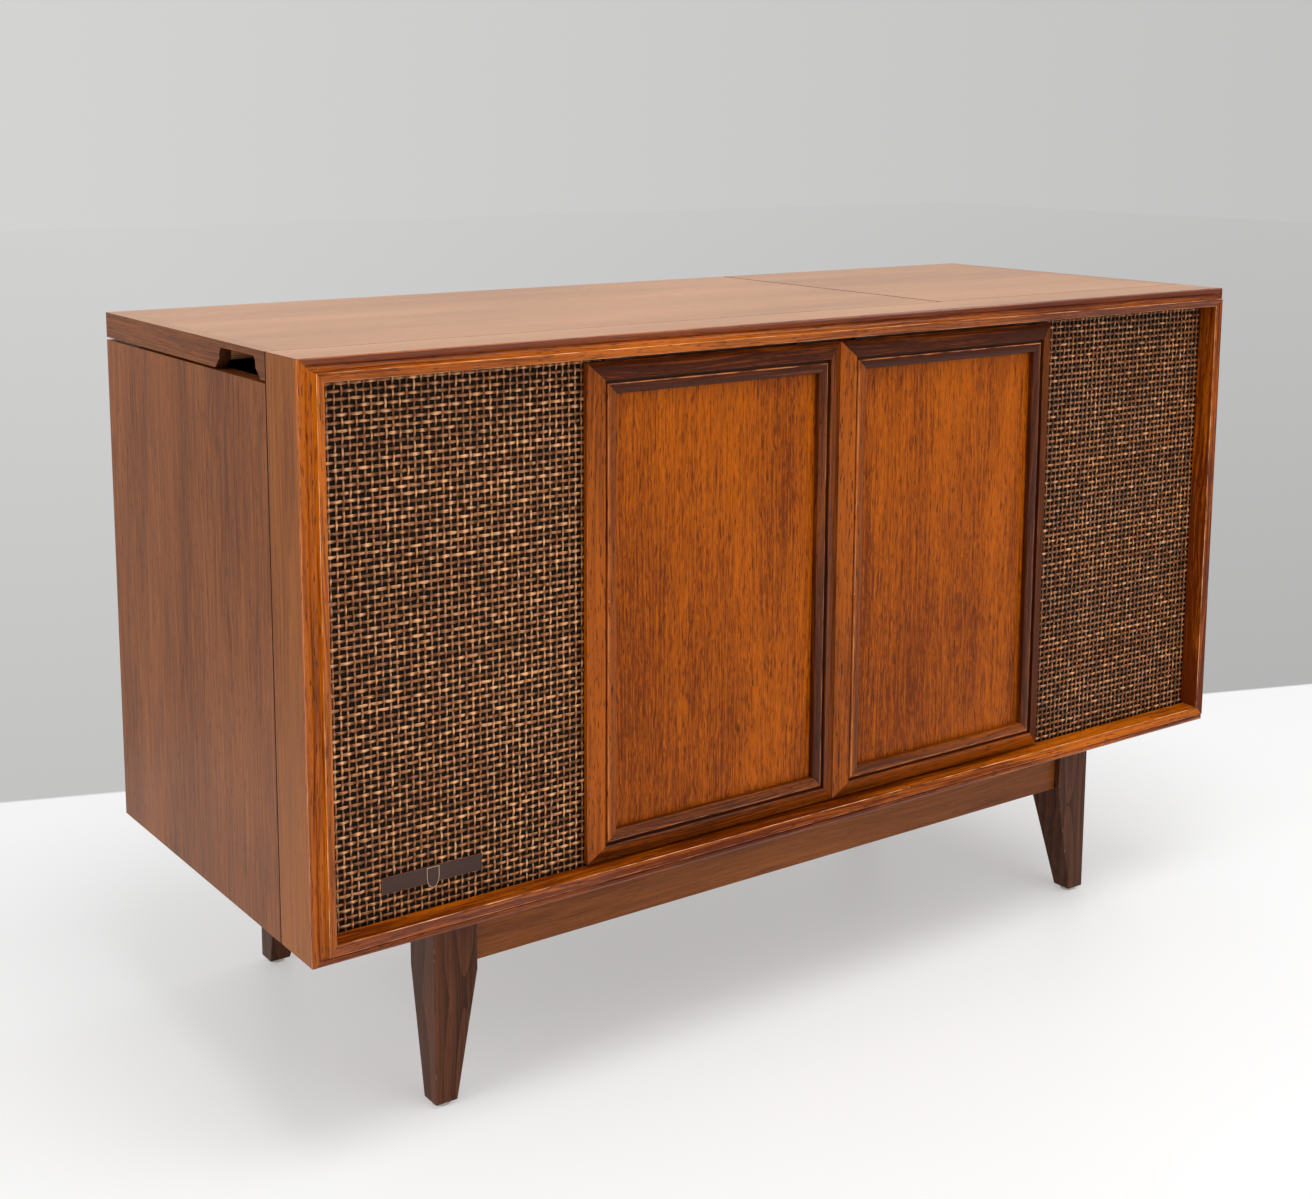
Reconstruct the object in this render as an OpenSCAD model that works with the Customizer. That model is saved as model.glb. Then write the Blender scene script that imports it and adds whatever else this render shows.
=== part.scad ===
// Stereo record player console on tapered legs: two lifting lids, two sliding
// front doors, a woven grille at each end, a record changer and a tuner inside.
// X runs along the front, the front faces -Y, Z is up, the floor is Z = 0.

/* [Cabinet] */
// Width over the two sides
cab_w = 1219; // [1190:1:1300]
// Depth from the front boards' front edge to the back
cab_d = 457; // [445:1:500]
// Height without the legs
cab_h = 544; // [530:1:580]
// Thickness of the side boards
side_t = 18; // [16:1:20]
// Thickness of the bottom board, deck and partitions
board_t = 16; // [14:1:18]
// Depth of the boards that form the front frame
front_d = 60; // [50:1:66]
// Width and depth of the shadow groove between side and front board
seam = 1.2; // [0.6:0.2:2]
// Thickness of the hardboard back
back_t = 4; // [3:0.5:5]
// Height of the lid space above the deck
well_h = 125; // [122:1:135]

/* [Front moulding] */
// How far the moulding stands proud of the front boards
mould_out = 16; // [13:0.5:18]
// Radius of the bead along the outer edge
bead_r = 3.8; // [3.4:0.2:4.4]
// Width of the hollow between the bead and the face
cove_w = 4.7; // [4:0.1:5.2]
// How far the face falls back from the outer to the inner arris
face_fall = 2.6; // [1:0.2:4]
// Distance from the cabinet's edge to the inner arris
mould_w = 20.5; // [19:0.5:23]
// Distance from the cabinet's edge to the lip that laps the grille
lip_w = 22.8; // [22:0.2:24.6]

/* [Grilles and speakers] */
// Depth of the grille's face behind the front boards' edge
grille_y = 9; // [9:0.5:11]
// Thickness of the woven grille
grille_t = 3; // [2.5:0.5:4]
// Thickness of the baffle boards
baffle_t = 12; // [9:1:15]
// Radius of the woofer opening
woofer_r = 60; // [50:1:60]
// Radius of the tweeter opening
tweeter_r = 32; // [26:1:38]
// Height of the woofer's centre above the cabinet's bottom
woofer_z = 130; // [110:1:160]
// Height of the tweeter's centre above the cabinet's bottom
tweeter_z = 285; // [270:1:315]
// Length of the badge plate
badge_l = 105; // [80:1:120]
// Height of the badge plate
badge_h = 16; // [12:1:20]
// Thickness of the badge plate
badge_t = 2; // [1.5:0.1:2.2]

/* [Doors] */
// Half of the width that the two closed doors cover
door_span = 314.5; // [306:0.5:320]
// Gap where the doors meet
door_meet = 1; // [0.6:0.2:2]
// Gap between a door and the ledge above or below it
door_gap = 2.3; // [1.5:0.1:3]
// Width of the flat outer slope of a door frame
slope_w = 17; // [15:0.5:19]
// How far that slope rises towards the front
slope_rise = 6.5; // [5:0.5:8]
// Width of the groove in a door frame
groove_w = 5; // [4:0.5:6]
// Width of the bead round the door panel
door_bead_w = 9; // [8:0.5:10]
// Thickness of the door's veneered panel
panel_t = 3; // [3:0.2:3.4]
// Depth of the door's back behind the front boards' edge
door_back = 5.8; // [5.4:0.1:6.2]
// How far each door slides
door_travel = 262; // [200:1:262]

/* [Lids] */
// Thickness of the lids
lid_t = 19; // [17:0.5:20]
// Height of the fascia at the lid's outer end
fascia_h = 26; // [24:0.5:28]
// Thickness of the fascia
fascia_t = 12; // [10:0.5:14]
// Gap between the fascia and the side below it
fascia_gap = 2.5; // [2.4:0.1:3]
// Distance from the left end to the split between the lids
split_x = 809; // [780:1:830]
// Gap between the lids
split_gap = 3; // [2:0.5:4]
// Length of the finger notch at its mouth
notch_l = 101; // [90:1:110]
// Height of the finger notch
notch_h = 19.5; // [16:0.5:20]
// Depth of the finger notch into the lid
notch_d = 36; // [30:1:42]
// Distance from the lid's front edge to the notch
notch_y = 10; // [8:1:14]
// How far the lids open
lid_open = 76; // [60:1:78]
// Distance from the cabinet's rear edge to the hinge axis
hinge_in = 4; // [3.9:0.1:4.4]
// Radius of the hinge knuckles
knuckle_r = 3.5; // [3:0.1:3.6]
// Radius of the hinge pins
hinge_pin_r = 1.5; // [1.2:0.1:1.7]
// Length of a stay arm between its pivots
stay_l = 180; // [150:1:200]

/* [Stand] */
// Height of the wooden legs
leg_h = 202; // [180:1:230]
// Width of a leg at its top
leg_top = 48; // [44:1:52]
// Width of a leg at its foot
leg_foot = 24; // [20:1:30]
// Length of a leg's straight top part
leg_straight = 73; // [72:1:80]
// Distance from the cabinet's end to a leg
leg_in = 150; // [120:1:180]
// Distance from the cabinet's front to a front leg
leg_front = 47; // [40:1:60]
// Height of the aprons between the legs
apron_h = 68; // [60:1:70]
// Height of the aprons at the ends
end_apron_h = 48; // [40:1:60]
// Thickness of the aprons
apron_t = 20; // [16:1:24]
// How far the aprons stand behind the legs' outer faces
apron_in = 8; // [5:0.5:10]
// Radius of the glides under the legs
glide_r = 9; // [7:0.5:9.5]
// Height of the glides
glide_h = 4; // [3:0.5:6]

/* [Record changer] */
// Width of the changer's base plate
plate_w = 340; // [335:1:350]
// Depth of the changer's base plate
plate_d = 300; // [295:1:310]
// Height of the base plate above the deck
plate_h = 12; // [11:0.5:14]
// Radius of the platter
platter_r = 135; // [128:1:137]
// Height of the platter's rim
platter_h = 19; // [17:0.5:21]
// Thickness of the rubber mat
mat_t = 3; // [2:0.5:4]
// Radius of the spindle
spindle_r = 3.6; // [3.5:0.05:3.65]
// Height of the spindle above the mat
spindle_h = 50; // [40:1:55]
// Radius of the idler wheel
idler_r = 20; // [16:1:22]
// Radius of the motor pulley
pulley_r = 4; // [3.5:0.1:5]
// Distance from the tonearm's pivot to the stylus
arm_l = 214; // [205:1:218]
// Radius of the tonearm tube
arm_r = 4; // [3:0.5:4.5]
// Radius of the motor's case
motor_r = 40; // [34:1:44]

/* [Tuner] */
// Width of the control panel
tuner_w = 380; // [370:1:385]
// Depth of the control panel
tuner_d = 280; // [260:1:290]
// Height of the control panel above the deck
tuner_h = 62; // [56:1:66]
// Width of the dial window
dial_w = 320; // [310:1:330]
// Depth of the dial window
dial_d = 56; // [46:1:60]
// Radius of the small knobs
knob_r = 17; // [14:0.5:19]
// Radius of the tuning knob
tune_r = 24; // [20:0.5:27]
// Height of the knobs
knob_h = 16; // [12:0.5:20]
// Radius of the knob shafts
shaft_r = 3; // [2.5:0.1:3.5]
// How far the dial pointer moves each way
dial_travel = 140; // [120:1:142]

/* [Fits] */
// Radial clearance of a turning shaft in its hole
run = 0.05; // [0.03:0.01:0.08]
// Clearance between pieces that move past each other
gap = 0.3; // [0.2:0.1:0.5]
// Width of the glue line where two sticks or boards meet
glue = 0.1; // [0.05:0.05:0.2]

/* [Hidden] */
$fn = 48;

// Frame of the cabinet
half_w = cab_w / 2;
front = -(cab_d - mould_out) / 2;
back = front + cab_d;
floor_z = leg_h + glide_h;
top_z = floor_z + cab_h;
mid_z = (floor_z + top_z) / 2;
inner_x = half_w - side_t;
lid_front = front + front_d + 1;
lid_under = top_z - lid_t;
side_top = top_z - fascia_h - fascia_gap;
deck_z = lid_under - well_h;
back_y = back - hinge_in - knuckle_r - gap;
baffle_y = front + grille_y + grille_t;
baffle_back = baffle_y + baffle_t;

// Front moulding, as points of depth and distance from the cabinet's edge
arc_n = 8;
mitre_d = 400;
bead_y = 3.6;
bead_turn = 140;
quirk = 0.3;
ease = 0.6;
valley_y = bead_y + bead_r * sin(bead_turn) + quirk;
valley_w = bead_r - bead_r * cos(bead_turn) + quirk;
cove_h = mould_out - 2 * ease - valley_y;
arris_w = valley_w + cove_w;
bead_pts = [for (i = [0:arc_n]) let (a = bead_turn * i / arc_n)
    [-bead_y - bead_r * sin(a), bead_r - bead_r * cos(a)]];
cove_pts = [for (i = [0:arc_n]) let (a = 90 * i / arc_n)
    [-valley_y - cove_h * (1 - cos(a)), valley_w + cove_w * sin(a)]];

// Door track: the groove between the moulding's lip and the grille
groove_y = 5;
track_t = 1;
door_bottom = floor_z + lip_w + door_gap;
door_top = top_z - lip_w - door_gap;
door_h = door_top - door_bottom;
door_w = door_span - door_meet / 2;
bay_in = 24.5;
bay_half = door_span - bay_in;
guide_l = 30;
guide_in = 24;
guide_t = 2.4;
guide_up = 10;
panel_set = 0.4;
panel_y = door_back - panel_t - panel_set;
groove_d = 4;
crest_set = 0.4;
bead_flat = 0.6;
door_stick_w = slope_w + groove_w + door_bead_w;
rebate_w = 5;
door_rebate = door_stick_w - rebate_w;

// Thin boards inside
wall_t = 12;
record_t = 6;
record_in = 20;

// Back, badge and speakers
back_margin = 3;
back_low = floor_z + back_margin;
slot_l = 70;
slot_w = 6;
slot_step = 18;
slot_rows = 4;
slot_levels = [60, 275];
slot_spread = 335;
screw_r = 4;
screw_top_r = 2.4;
screw_h = 1.8;
screw_in = 8;
badge_x = 76;
badge_z = 46;
shield_w = 14;
shield_drop = 5;
flange_w = 9;
basket_t = 3;
rim_h = 2;
cone_t = 1.2;
cap_rise = 5;
woofer_d = 40;
woofer_magnet_r = 30;
woofer_magnet_h = 24;
woofer_coil_r = 18;
tweeter_d = 20;
tweeter_magnet_r = 16;
tweeter_magnet_h = 14;
tweeter_coil_r = 9;

// Lids
notch_slope = 14;
notch_r = 7;
split = split_x - half_w;
left_end = split - split_gap / 2;
right_end = split + split_gap / 2;
rail_h = 34;
rail_d = 32;
rail_gap = 2;
rail_top = lid_under - rail_gap;
back_lap = 20;
back_high = rail_top - back_lap;
batten_h = 22;
batten_d = 15;
centre_rail_w = 30;
leaf_t = 1.6;
hinge_w = 60;
hinge_y = back - hinge_in;
knuckle_gap = 0.7;
hinge_z = lid_under - knuckle_r - knuckle_gap;
leaf_down = 16;
leaf_in = 22;
hinge_left = 130;
hinge_mid = 120;
hinge_right = 90;
left_hinges = [-half_w + hinge_left, split - hinge_mid];
right_hinges = [split + hinge_right, half_w - hinge_right];
rail_y = back_y;

// Lid stays: the arm is one side of a parallelogram, so it turns with the lid
stay_in = 12;
stay_down = 30;
stay_a = [-stay_in, -stay_down];
stay_reach = norm(stay_a);
stay_t = 2;
stay_w = 12;
stay_pin_r = 2;
stay_slot = stay_pin_r + gap;
stay_end = 14;
stay_wall = 1;
stay_clear = 0.5;
stud_proud = 0.4;
stud_collar = 3;
quadrant_x = inner_x - stay_wall - stay_t - stay_clear - stay_t;
quadrant_margin = 7;
slot_a0 = atan2(stay_a[1], stay_a[0]);
slot_a1 = slot_a0 + lid_open;

// Stand
leg_x = half_w - leg_in - leg_top;
leg_back_in = 3;
leg_back = back - leg_back_in;
leg_rear = leg_back - leg_top;
block_h = 30;
block_l = 50;

// Record changer
deck_hole = 8;
deck_in = 45;
deck_front = front + deck_in;
plate_in = 34.5;
plate_x = -half_w + plate_in + plate_w / 2;
plate_y = deck_front + plate_d / 2;
plate_z = deck_z + plate_h;
plate_corner = 18;
sheet_t = 3;
boss_h = 8;
boss_w = 4;
platter_in = 7;
spin_x = plate_x - plate_w / 2 + platter_in + platter_r;
spin_in = 10;
spin_y = plate_y - spin_in;
platter_up = 4;
platter_z = plate_z + platter_up;
platter_web = 3;
rim_ease = 2;
mat_in = 5;
mat_ease = 0.8;
tip_h = 4;
mat_z = platter_z + platter_h;
play_z = mat_z + mat_t;
rim_t = 7;
rim_in = platter_r - rim_t;
idler_a = 60;
idler_d = rim_in - idler_r - gap;
idler_x = spin_x + idler_d * cos(idler_a);
idler_y = spin_y + idler_d * sin(idler_a);
pulley_x = idler_x - idler_r - pulley_r - gap;
pulley_y = idler_y;
drive_up = 5;
drive_z = platter_z + drive_up;
drive_t = 6;
motor_shaft_r = 2;
motor_h = 50;
motor_bearing = 6;
lug_w = 24;
lug_out = 4;
lug_in = 14;
idler_stud_r = 2.5;
hub_r = 14;
hub_down = 9;
arm_out = 36;
arm_back = 105;
arm_up = 18;
needle_up = 1.5;
arm_x = spin_x + platter_r + arm_out;
arm_y = spin_y + arm_back;
arm_z = play_z + arm_up;
stylus_z = play_z + needle_up;
arm_post_r = 15;
arm_post_h = 16;
axle_r = 1.5;
yoke_r = 5;
yoke_w = 26;
yoke_d = 18;
yoke_t = 4;
cheek_t = 3;
cheek_d = 12;
cheek_up = 6;
rest_in = 150;
rest_y = arm_y - rest_in;
rest_r = 9;
rest_w = 6;
pivot_w = 16;
pivot_h = 12;
weight_r = 12;
weight_l = 26;
weight_y = 48;
tube_back = 30;
shell_w = 18;
shell_l = 44;
shell_over = 8;
shell_under = 5;
cartridge_w = 14;
cartridge_l = 18;
cartridge_h = 6;
post_r = 5;
rod_r = 3;
cap_r = 9;
cap_h = 13;
over_in = 15;
over_back = 125;
over_up = 8;
over_x = plate_x - plate_w / 2 + over_in;
over_y = spin_y + over_back;
over_z = play_z + spindle_h + over_up;
over_l = norm([spin_x - over_x, spin_y - over_y]);
over_a = atan2(spin_y - over_y, spin_x - over_x);
lever_in = 18;
lever_back = 20;
lever_x = plate_x + plate_w / 2 - lever_in;
lever_y = plate_y - plate_d / 2 + lever_back;
lever_l = 26;
lever_w = 7;
lever_h = 6;
lever_r = 9;

// Tuner
tuner_x = (plate_x + plate_w / 2 + split - wall_t / 2) / 2;
tuner_in = 15;
tuner_y = deck_front + tuner_in + tuner_d / 2;
tuner_z = deck_z + tuner_h;
dial_back = 62;
dial_y = tuner_y + dial_back;
knob_front = 82;
knob_y = tuner_y - knob_front;
knob_in = 58;
knob_step = (tuner_w - 2 * knob_in) / 3;
knob_gap = 1;
knob_i = [-1.5, -0.5, 0.5, 1.5];
knob_rim = 2;
knob_dish = 1.2;
mark_w = 1.6;
control_h = 14;
control_r = 11;
control_floor = 4;
panel_corner = 8;
glass_t = 2.5;
scale_down = 16;
scale_z = tuner_z - scale_down;
rail_up = 4;
dial_rail_z = scale_z + rail_up;
rail_back = 7;
dial_rail_y = dial_y + dial_d / 2 + rail_back;
dial_rail_r = 1.5;
needle_w = 1.6;
needle_h = 2;
slide_w = 14;
slide_h = 7;
chassis_in = 20;
chassis_d = 120;
scale_t = 2;
chassis_down = 8;
chassis_z = scale_z - chassis_down;
scale_lap = 6;
scale_post = 12;

// Amplifier
amp_in = 30;
amp_x = bay_half + board_t + amp_in;
amp_w = inner_x - amp_x - amp_in;
amp_d = 120;
amp_h = 45;
amp_y = back_y - amp_d - amp_in;
amp_z = floor_z + board_t;
transformer_l = 70;
transformer_h = 66;
terminal_l = 140;
terminal_h = 34;
terminal_t = 2;
inlet_r = 9;
valve_r = 13;
valve_h = 62;
valve_n = 4;
valve_x = 100;

// Box given by two opposite corners
module block(low, high) {
    translate(low)
        cube(high - low);
}

// Both ends of the cabinet get the same piece
module both_ends() {
    children();
    mirror([1, 0, 0])
        children();
}

// Flat plate with round corners, centred, standing on Z = 0
module round_plate(w, d, h, r) {
    linear_extrude(h)
        rounded_outline(w, d, r);
}

module rounded_outline(w, d, r) {
    square([w - 2 * r, d], center = true);
    square([w, d - 2 * r], center = true);
    for (sx = [-1, 1], sy = [-1, 1])
        translate([sx * (w / 2 - r), sy * (d / 2 - r)])
            circle(r);
}

// Pressed plate with a skirt, open below
module pan(w, d, h, r, t) {
    difference() {
        round_plate(w, d, h, r);
        translate([0, 0, -1])
            round_plate(w - 2 * t, d - 2 * t, h - t + 1, r - t);
    }
}

// Stick along X with both ends cut to a mitre, from points of [depth, width]
module mitred_stick(len, pts, reach) {
    intersection() {
        rotate([90, 0, 90])
            linear_extrude(len, center = true)
                polygon(pts);
        rotate([90, 0, 0])
            linear_extrude(mitre_d, center = true)
                polygon([[-len / 2 + glue, 0], [len / 2 - glue, 0],
                    [len / 2 - glue - reach, reach], [-len / 2 + glue + reach, reach]]);
    }
}

module on_bottom(z) {
    translate([0, front, z])
        children();
}

module on_top(z) {
    translate([0, front, z])
        mirror([0, 0, 1])
            children();
}

module on_left(x, z) {
    translate([x, front, z])
        rotate([0, 90, 0])
            children();
}

module on_right(x, z) {
    translate([x, front, z])
        rotate([0, -90, 0])
            children();
}

// The sides stand behind the front boards, with a shadow groove between
module left_side() {
    color("#7a4a2e")
        difference() {
            block([-half_w, front + front_d, floor_z], [-inner_x, back, side_top]);
            translate([-half_w - 1, front + front_d - 1, floor_z - 1])
                cube([seam + 1, seam + 1, cab_h]);
        }
}

module right_side() {
    mirror([1, 0, 0])
        left_side();
}

module bottom_panel() {
    color("#8a6a4c")
        block([-inner_x, front + front_d, floor_z], [inner_x, back_y, floor_z + board_t]);
}

// Hardboard back with rows of air slots and an opening for the terminals
module back_panel() {
    color("#5b4334")
        difference() {
            block([-inner_x + gap, back_y, back_low], [inner_x - gap, back_y + back_t, back_high]);
            for (i = [0:slot_rows - 1], x = [-1, 0, 1], level = slot_levels)
                translate([x * slot_spread - slot_l / 2, back_y - 1, floor_z + level + i * slot_step])
                    cube([slot_l, back_t + 2, slot_w]);
        }
}

// Domed screws along the edges of the back
module back_screws() {
    color("#9a9488")
        for (x = [-1, -0.5, 0, 0.5, 1], z = [back_low + screw_in, back_high - screw_in])
            translate([x * (inner_x - gap - 2 * screw_in), back_y + back_t, z])
                rotate([-90, 0, 0])
                    cylinder(h = screw_h, r1 = screw_r, r2 = screw_top_r, $fn = 24);
}

// Four boards, mitred into the box that carries the moulding
module front_boards() {
    pts = [[0, 0], [front_d, 0], [front_d, board_t], [0, board_t]];
    color("#80502f") {
        on_bottom(floor_z)
            mitred_stick(cab_w, pts, board_t);
        on_top(top_z)
            mitred_stick(cab_w, pts, board_t);
        on_left(-half_w, mid_z)
            mitred_stick(cab_h, pts, board_t);
        on_right(half_w, mid_z)
            mitred_stick(cab_h, pts, board_t);
    }
}

// One stick of the picture frame moulding: bead, hollow, face and inner lip
module moulding_stick(len, lip_y) {
    pts = concat([[0, 0]], bead_pts, cove_pts,
        [[-mould_out, arris_w + ease], [face_fall - mould_out, mould_w - ease],
            [face_fall + 2 * ease - mould_out, mould_w],
            [lip_y, lip_w], [lip_y, board_t], [0, board_t]]);
    color("#a8551c")
        mitred_stick(len, pts, lip_w + 1);
}

module moulding_top() {
    on_top(top_z)
        moulding_stick(cab_w, groove_y);
}

module moulding_bottom() {
    on_bottom(floor_z)
        moulding_stick(cab_w, groove_y);
}

module moulding_left() {
    on_left(-half_w, mid_z)
        moulding_stick(cab_h, grille_y);
}

module moulding_right() {
    on_right(half_w, mid_z)
        moulding_stick(cab_h, grille_y);
}

// Dividers of the record bay, the board over it and the wall under the lid split
module inner_boards() {
    color("#8c5a38") {
        both_ends()
            block([bay_half, baffle_back, floor_z + board_t], [bay_half + board_t, back_y, deck_z - board_t]);
        both_ends()
            block([bay_half / 3 - record_t / 2, baffle_back + record_in, floor_z + board_t],
                [bay_half / 3 + record_t / 2, back_y, deck_z - board_t]);
        block([-bay_half, baffle_y, deck_z - board_t], [bay_half, baffle_back, top_z - board_t]);
        block([split - wall_t / 2, baffle_back + glue, deck_z],
            [split + wall_t / 2, back_y, rail_top - rail_h - glue]);
    }
}

// Batten, centre rail and rear rail that the lids close on
module top_rails() {
    color("#7b4c2d") {
        block([-inner_x, front + front_d, lid_under - gap - batten_h],
            [inner_x, front + front_d + batten_d, lid_under - gap]);
        block([split - centre_rail_w / 2, front + front_d + batten_d + glue, rail_top - rail_h],
            [split + centre_rail_w / 2, rail_y - rail_d - glue, lid_under - gap]);
        block([-inner_x + stay_end, rail_y - rail_d, rail_top - rail_h],
            [inner_x - stay_end, rail_y, rail_top]);
    }
}

// The deck closes the speaker chambers and carries changer and tuner
module deck() {
    color("#84563a")
        difference() {
            block([-inner_x, baffle_back, deck_z - board_t], [inner_x, back_y, deck_z]);
            translate([pulley_x, pulley_y, deck_z - board_t - 1])
                cylinder(h = board_t + 2, r = motor_r + deck_hole);
            translate([spin_x, spin_y, deck_z - board_t - 1])
                cylinder(h = board_t + 2, r = hub_r + deck_hole);
            translate([arm_x, arm_y, deck_z - board_t - 1])
                cylinder(h = board_t + 2, r = yoke_r + deck_hole);
        }
}

// Places a child at a speaker centre, its axis along the depth
module at_speaker(z) {
    translate([-(half_w + bay_half) / 2, baffle_back, floor_z + z])
        rotate([-90, 0, 0])
            children();
}

module speaker_baffles() {
    color("#2b2320")
        both_ends()
            difference() {
                block([-half_w + board_t, baffle_y, floor_z + board_t],
                    [-bay_half, baffle_back, top_z - board_t]);
                at_speaker(woofer_z)
                    translate([0, 0, -baffle_t - 1])
                        cylinder(h = baffle_t + 2, r = woofer_r);
                at_speaker(tweeter_z)
                    translate([0, 0, -baffle_t - 1])
                        cylinder(h = baffle_t + 2, r = tweeter_r);
            }
}

module left_grille() {
    color("#6b4a35")
        block([-half_w + board_t + gap, baffle_y - grille_t, floor_z + board_t + gap],
            [-bay_half, baffle_y, top_z - board_t - gap]);
}

module right_grille() {
    mirror([1, 0, 0])
        left_grille();
}

// Bare plate with a small shield at its middle
module badge_plate() {
    color("#3b2720") {
        translate([-half_w + badge_x, front + grille_y - badge_t, floor_z + badge_z])
            cube([badge_l, badge_t, badge_h]);
        translate([-half_w + badge_x + badge_l / 2, front + grille_y, floor_z + badge_z])
            rotate([90, 0, 0])
                linear_extrude(badge_t)
                    polygon([[-shield_w / 2, 0], [shield_w / 2, 0],
                        [shield_w / 2 - 1, -shield_drop / 2], [0, -shield_drop],
                        [-shield_w / 2 + 1, -shield_drop / 2]]);
    }
}

// Steel basket and magnet of a speaker that fits a hole of radius r
module speaker_frame(r, depth, magnet_r, magnet_h) {
    rotate_extrude()
        polygon([[r, 0], [r + flange_w, 0], [r + flange_w, basket_t], [r + basket_t, basket_t],
            [magnet_r + flange_w, depth + basket_t], [magnet_r, depth + basket_t],
            [magnet_r, depth + magnet_h], [0, depth + magnet_h], [0, depth],
            [magnet_r + flange_w - basket_t, depth], [r, rim_h]]);
}

// Paper cone with its dust cap
module speaker_cone(r, depth, coil_r) {
    rotate_extrude()
        polygon([[r - gap, 0], [r - gap, cone_t], [coil_r, depth - cap_rise], [coil_r, depth - gap],
            [0, depth - gap], [0, depth - 2 * cap_rise], [coil_r - cone_t, depth - cap_rise - cone_t],
            [r - 2 * cone_t, 0]]);
}

module speaker_frames() {
    color("#777a7c")
        both_ends() {
            at_speaker(woofer_z)
                speaker_frame(woofer_r, woofer_d, woofer_magnet_r, woofer_magnet_h);
            at_speaker(tweeter_z)
                speaker_frame(tweeter_r, tweeter_d, tweeter_magnet_r, tweeter_magnet_h);
        }
}

module speaker_cones() {
    color("#26221f")
        both_ends() {
            at_speaker(woofer_z)
                speaker_cone(woofer_r, woofer_d, woofer_coil_r);
            at_speaker(tweeter_z)
                speaker_cone(tweeter_r, tweeter_d, tweeter_coil_r);
        }
}

// Finger notch under the lid's end, from outside inwards along +X
module notch_cut(depth) {
    y0 = lid_front + notch_y;
    y1 = y0 + notch_slope;
    y2 = y0 + notch_l - notch_slope;
    z0 = top_z - fascia_h;
    z1 = z0 + notch_h - notch_r;
    rotate([90, 0, 90])
        linear_extrude(depth)
            union() {
                polygon([[y0 - 1, z0 - 1], [y0 + notch_l + 1, z0 - 1], [y2, z1], [y1, z1]]);
                translate([y1, z1])
                    square([y2 - y1, notch_r]);
                for (y = [y1 + notch_r / 2, y2 - notch_r / 2])
                    translate([y, z1])
                        circle(notch_r);
            }
}

module lid_board(x0, x1) {
    color("#9a6a48")
        difference() {
            block([x0, lid_front, lid_under], [x1, back, top_z]);
            translate([-half_w, 0, 0])
                notch_cut(notch_d);
        }
}

module lid_fascia() {
    color("#7d4d31")
        difference() {
            block([-half_w, lid_front, top_z - fascia_h], [-half_w + fascia_t, back, top_z]);
            translate([-half_w - 1, 0, 0])
                notch_cut(fascia_t + 2);
        }
}

module left_lid() {
    lid_board(-half_w + fascia_t, left_end);
}

module left_lid_fascia() {
    lid_fascia();
}

module right_lid() {
    mirror([1, 0, 0])
        lid_board(-half_w + fascia_t, -right_end);
}

module right_lid_fascia() {
    mirror([1, 0, 0])
        lid_fascia();
}

// The lid's half of a butt hinge: leaf under the lid and the middle knuckle
module moving_leaf(x) {
    translate([x, hinge_y, hinge_z])
        difference() {
            union() {
                block([-hinge_w / 2, -leaf_in, knuckle_r + knuckle_gap - leaf_t],
                    [hinge_w / 2, -knuckle_r - gap, knuckle_r + knuckle_gap]);
                block([-hinge_w / 6 + gap / 2, -knuckle_r - gap - 1, knuckle_r + knuckle_gap - leaf_t],
                    [hinge_w / 6 - gap / 2, 0, knuckle_r + knuckle_gap]);
                rotate([0, 90, 0])
                    cylinder(h = hinge_w / 3 - gap, r = knuckle_r, center = true);
            }
            rotate([0, 90, 0])
                cylinder(h = hinge_w, r = hinge_pin_r + run, center = true);
        }
}

// The cabinet's half: leaf on the rear rail, outer knuckles and the pin
module fixed_leaf(x) {
    translate([x, hinge_y, hinge_z]) {
        block([-hinge_w / 2, -knuckle_r - gap, -leaf_down],
            [hinge_w / 2, -knuckle_r - gap + leaf_t, -knuckle_r - gap]);
        rotate([0, 90, 0])
            cylinder(h = hinge_w, r = hinge_pin_r, center = true);
        for (s = [-1, 1])
            translate([s * hinge_w / 3, 0, 0]) {
                rotate([0, 90, 0])
                    cylinder(h = hinge_w / 3 - gap, r = knuckle_r, center = true);
                block([-hinge_w / 6 + gap / 2, -knuckle_r - gap, -knuckle_r - gap - 1],
                    [hinge_w / 6 - gap / 2, -knuckle_r - gap + leaf_t, 0]);
            }
    }
}

// Quadrant plate under the lid; its round slot guides the stay arm's pin
module quadrant() {
    y_end = stay_reach * cos(slot_a1);
    translate([-quadrant_x, hinge_y - stay_l, hinge_z])
        difference() {
            block([-stay_t, stay_a[0] - quadrant_margin, -stay_reach - quadrant_margin],
                [0, y_end + quadrant_margin, knuckle_r + knuckle_gap]);
            translate([-stay_t - 1, 0, 0])
                rotate([90, 0, 90]) {
                    rotate([0, 0, slot_a0])
                        rotate_extrude(angle = lid_open)
                            translate([stay_reach - stay_slot, 0])
                                square([2 * stay_slot, stay_t + 2]);
                    for (a = [slot_a0, slot_a1])
                        rotate([0, 0, a])
                            translate([stay_reach, 0, 0])
                                cylinder(h = stay_t + 2, r = stay_slot);
                }
        }
}

module left_lid_fittings() {
    color("#b08d57") {
        for (x = left_hinges)
            moving_leaf(x);
        quadrant();
    }
}

module right_lid_fittings() {
    color("#b08d57") {
        for (x = right_hinges)
            moving_leaf(x);
        mirror([1, 0, 0])
            quadrant();
    }
}

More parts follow.
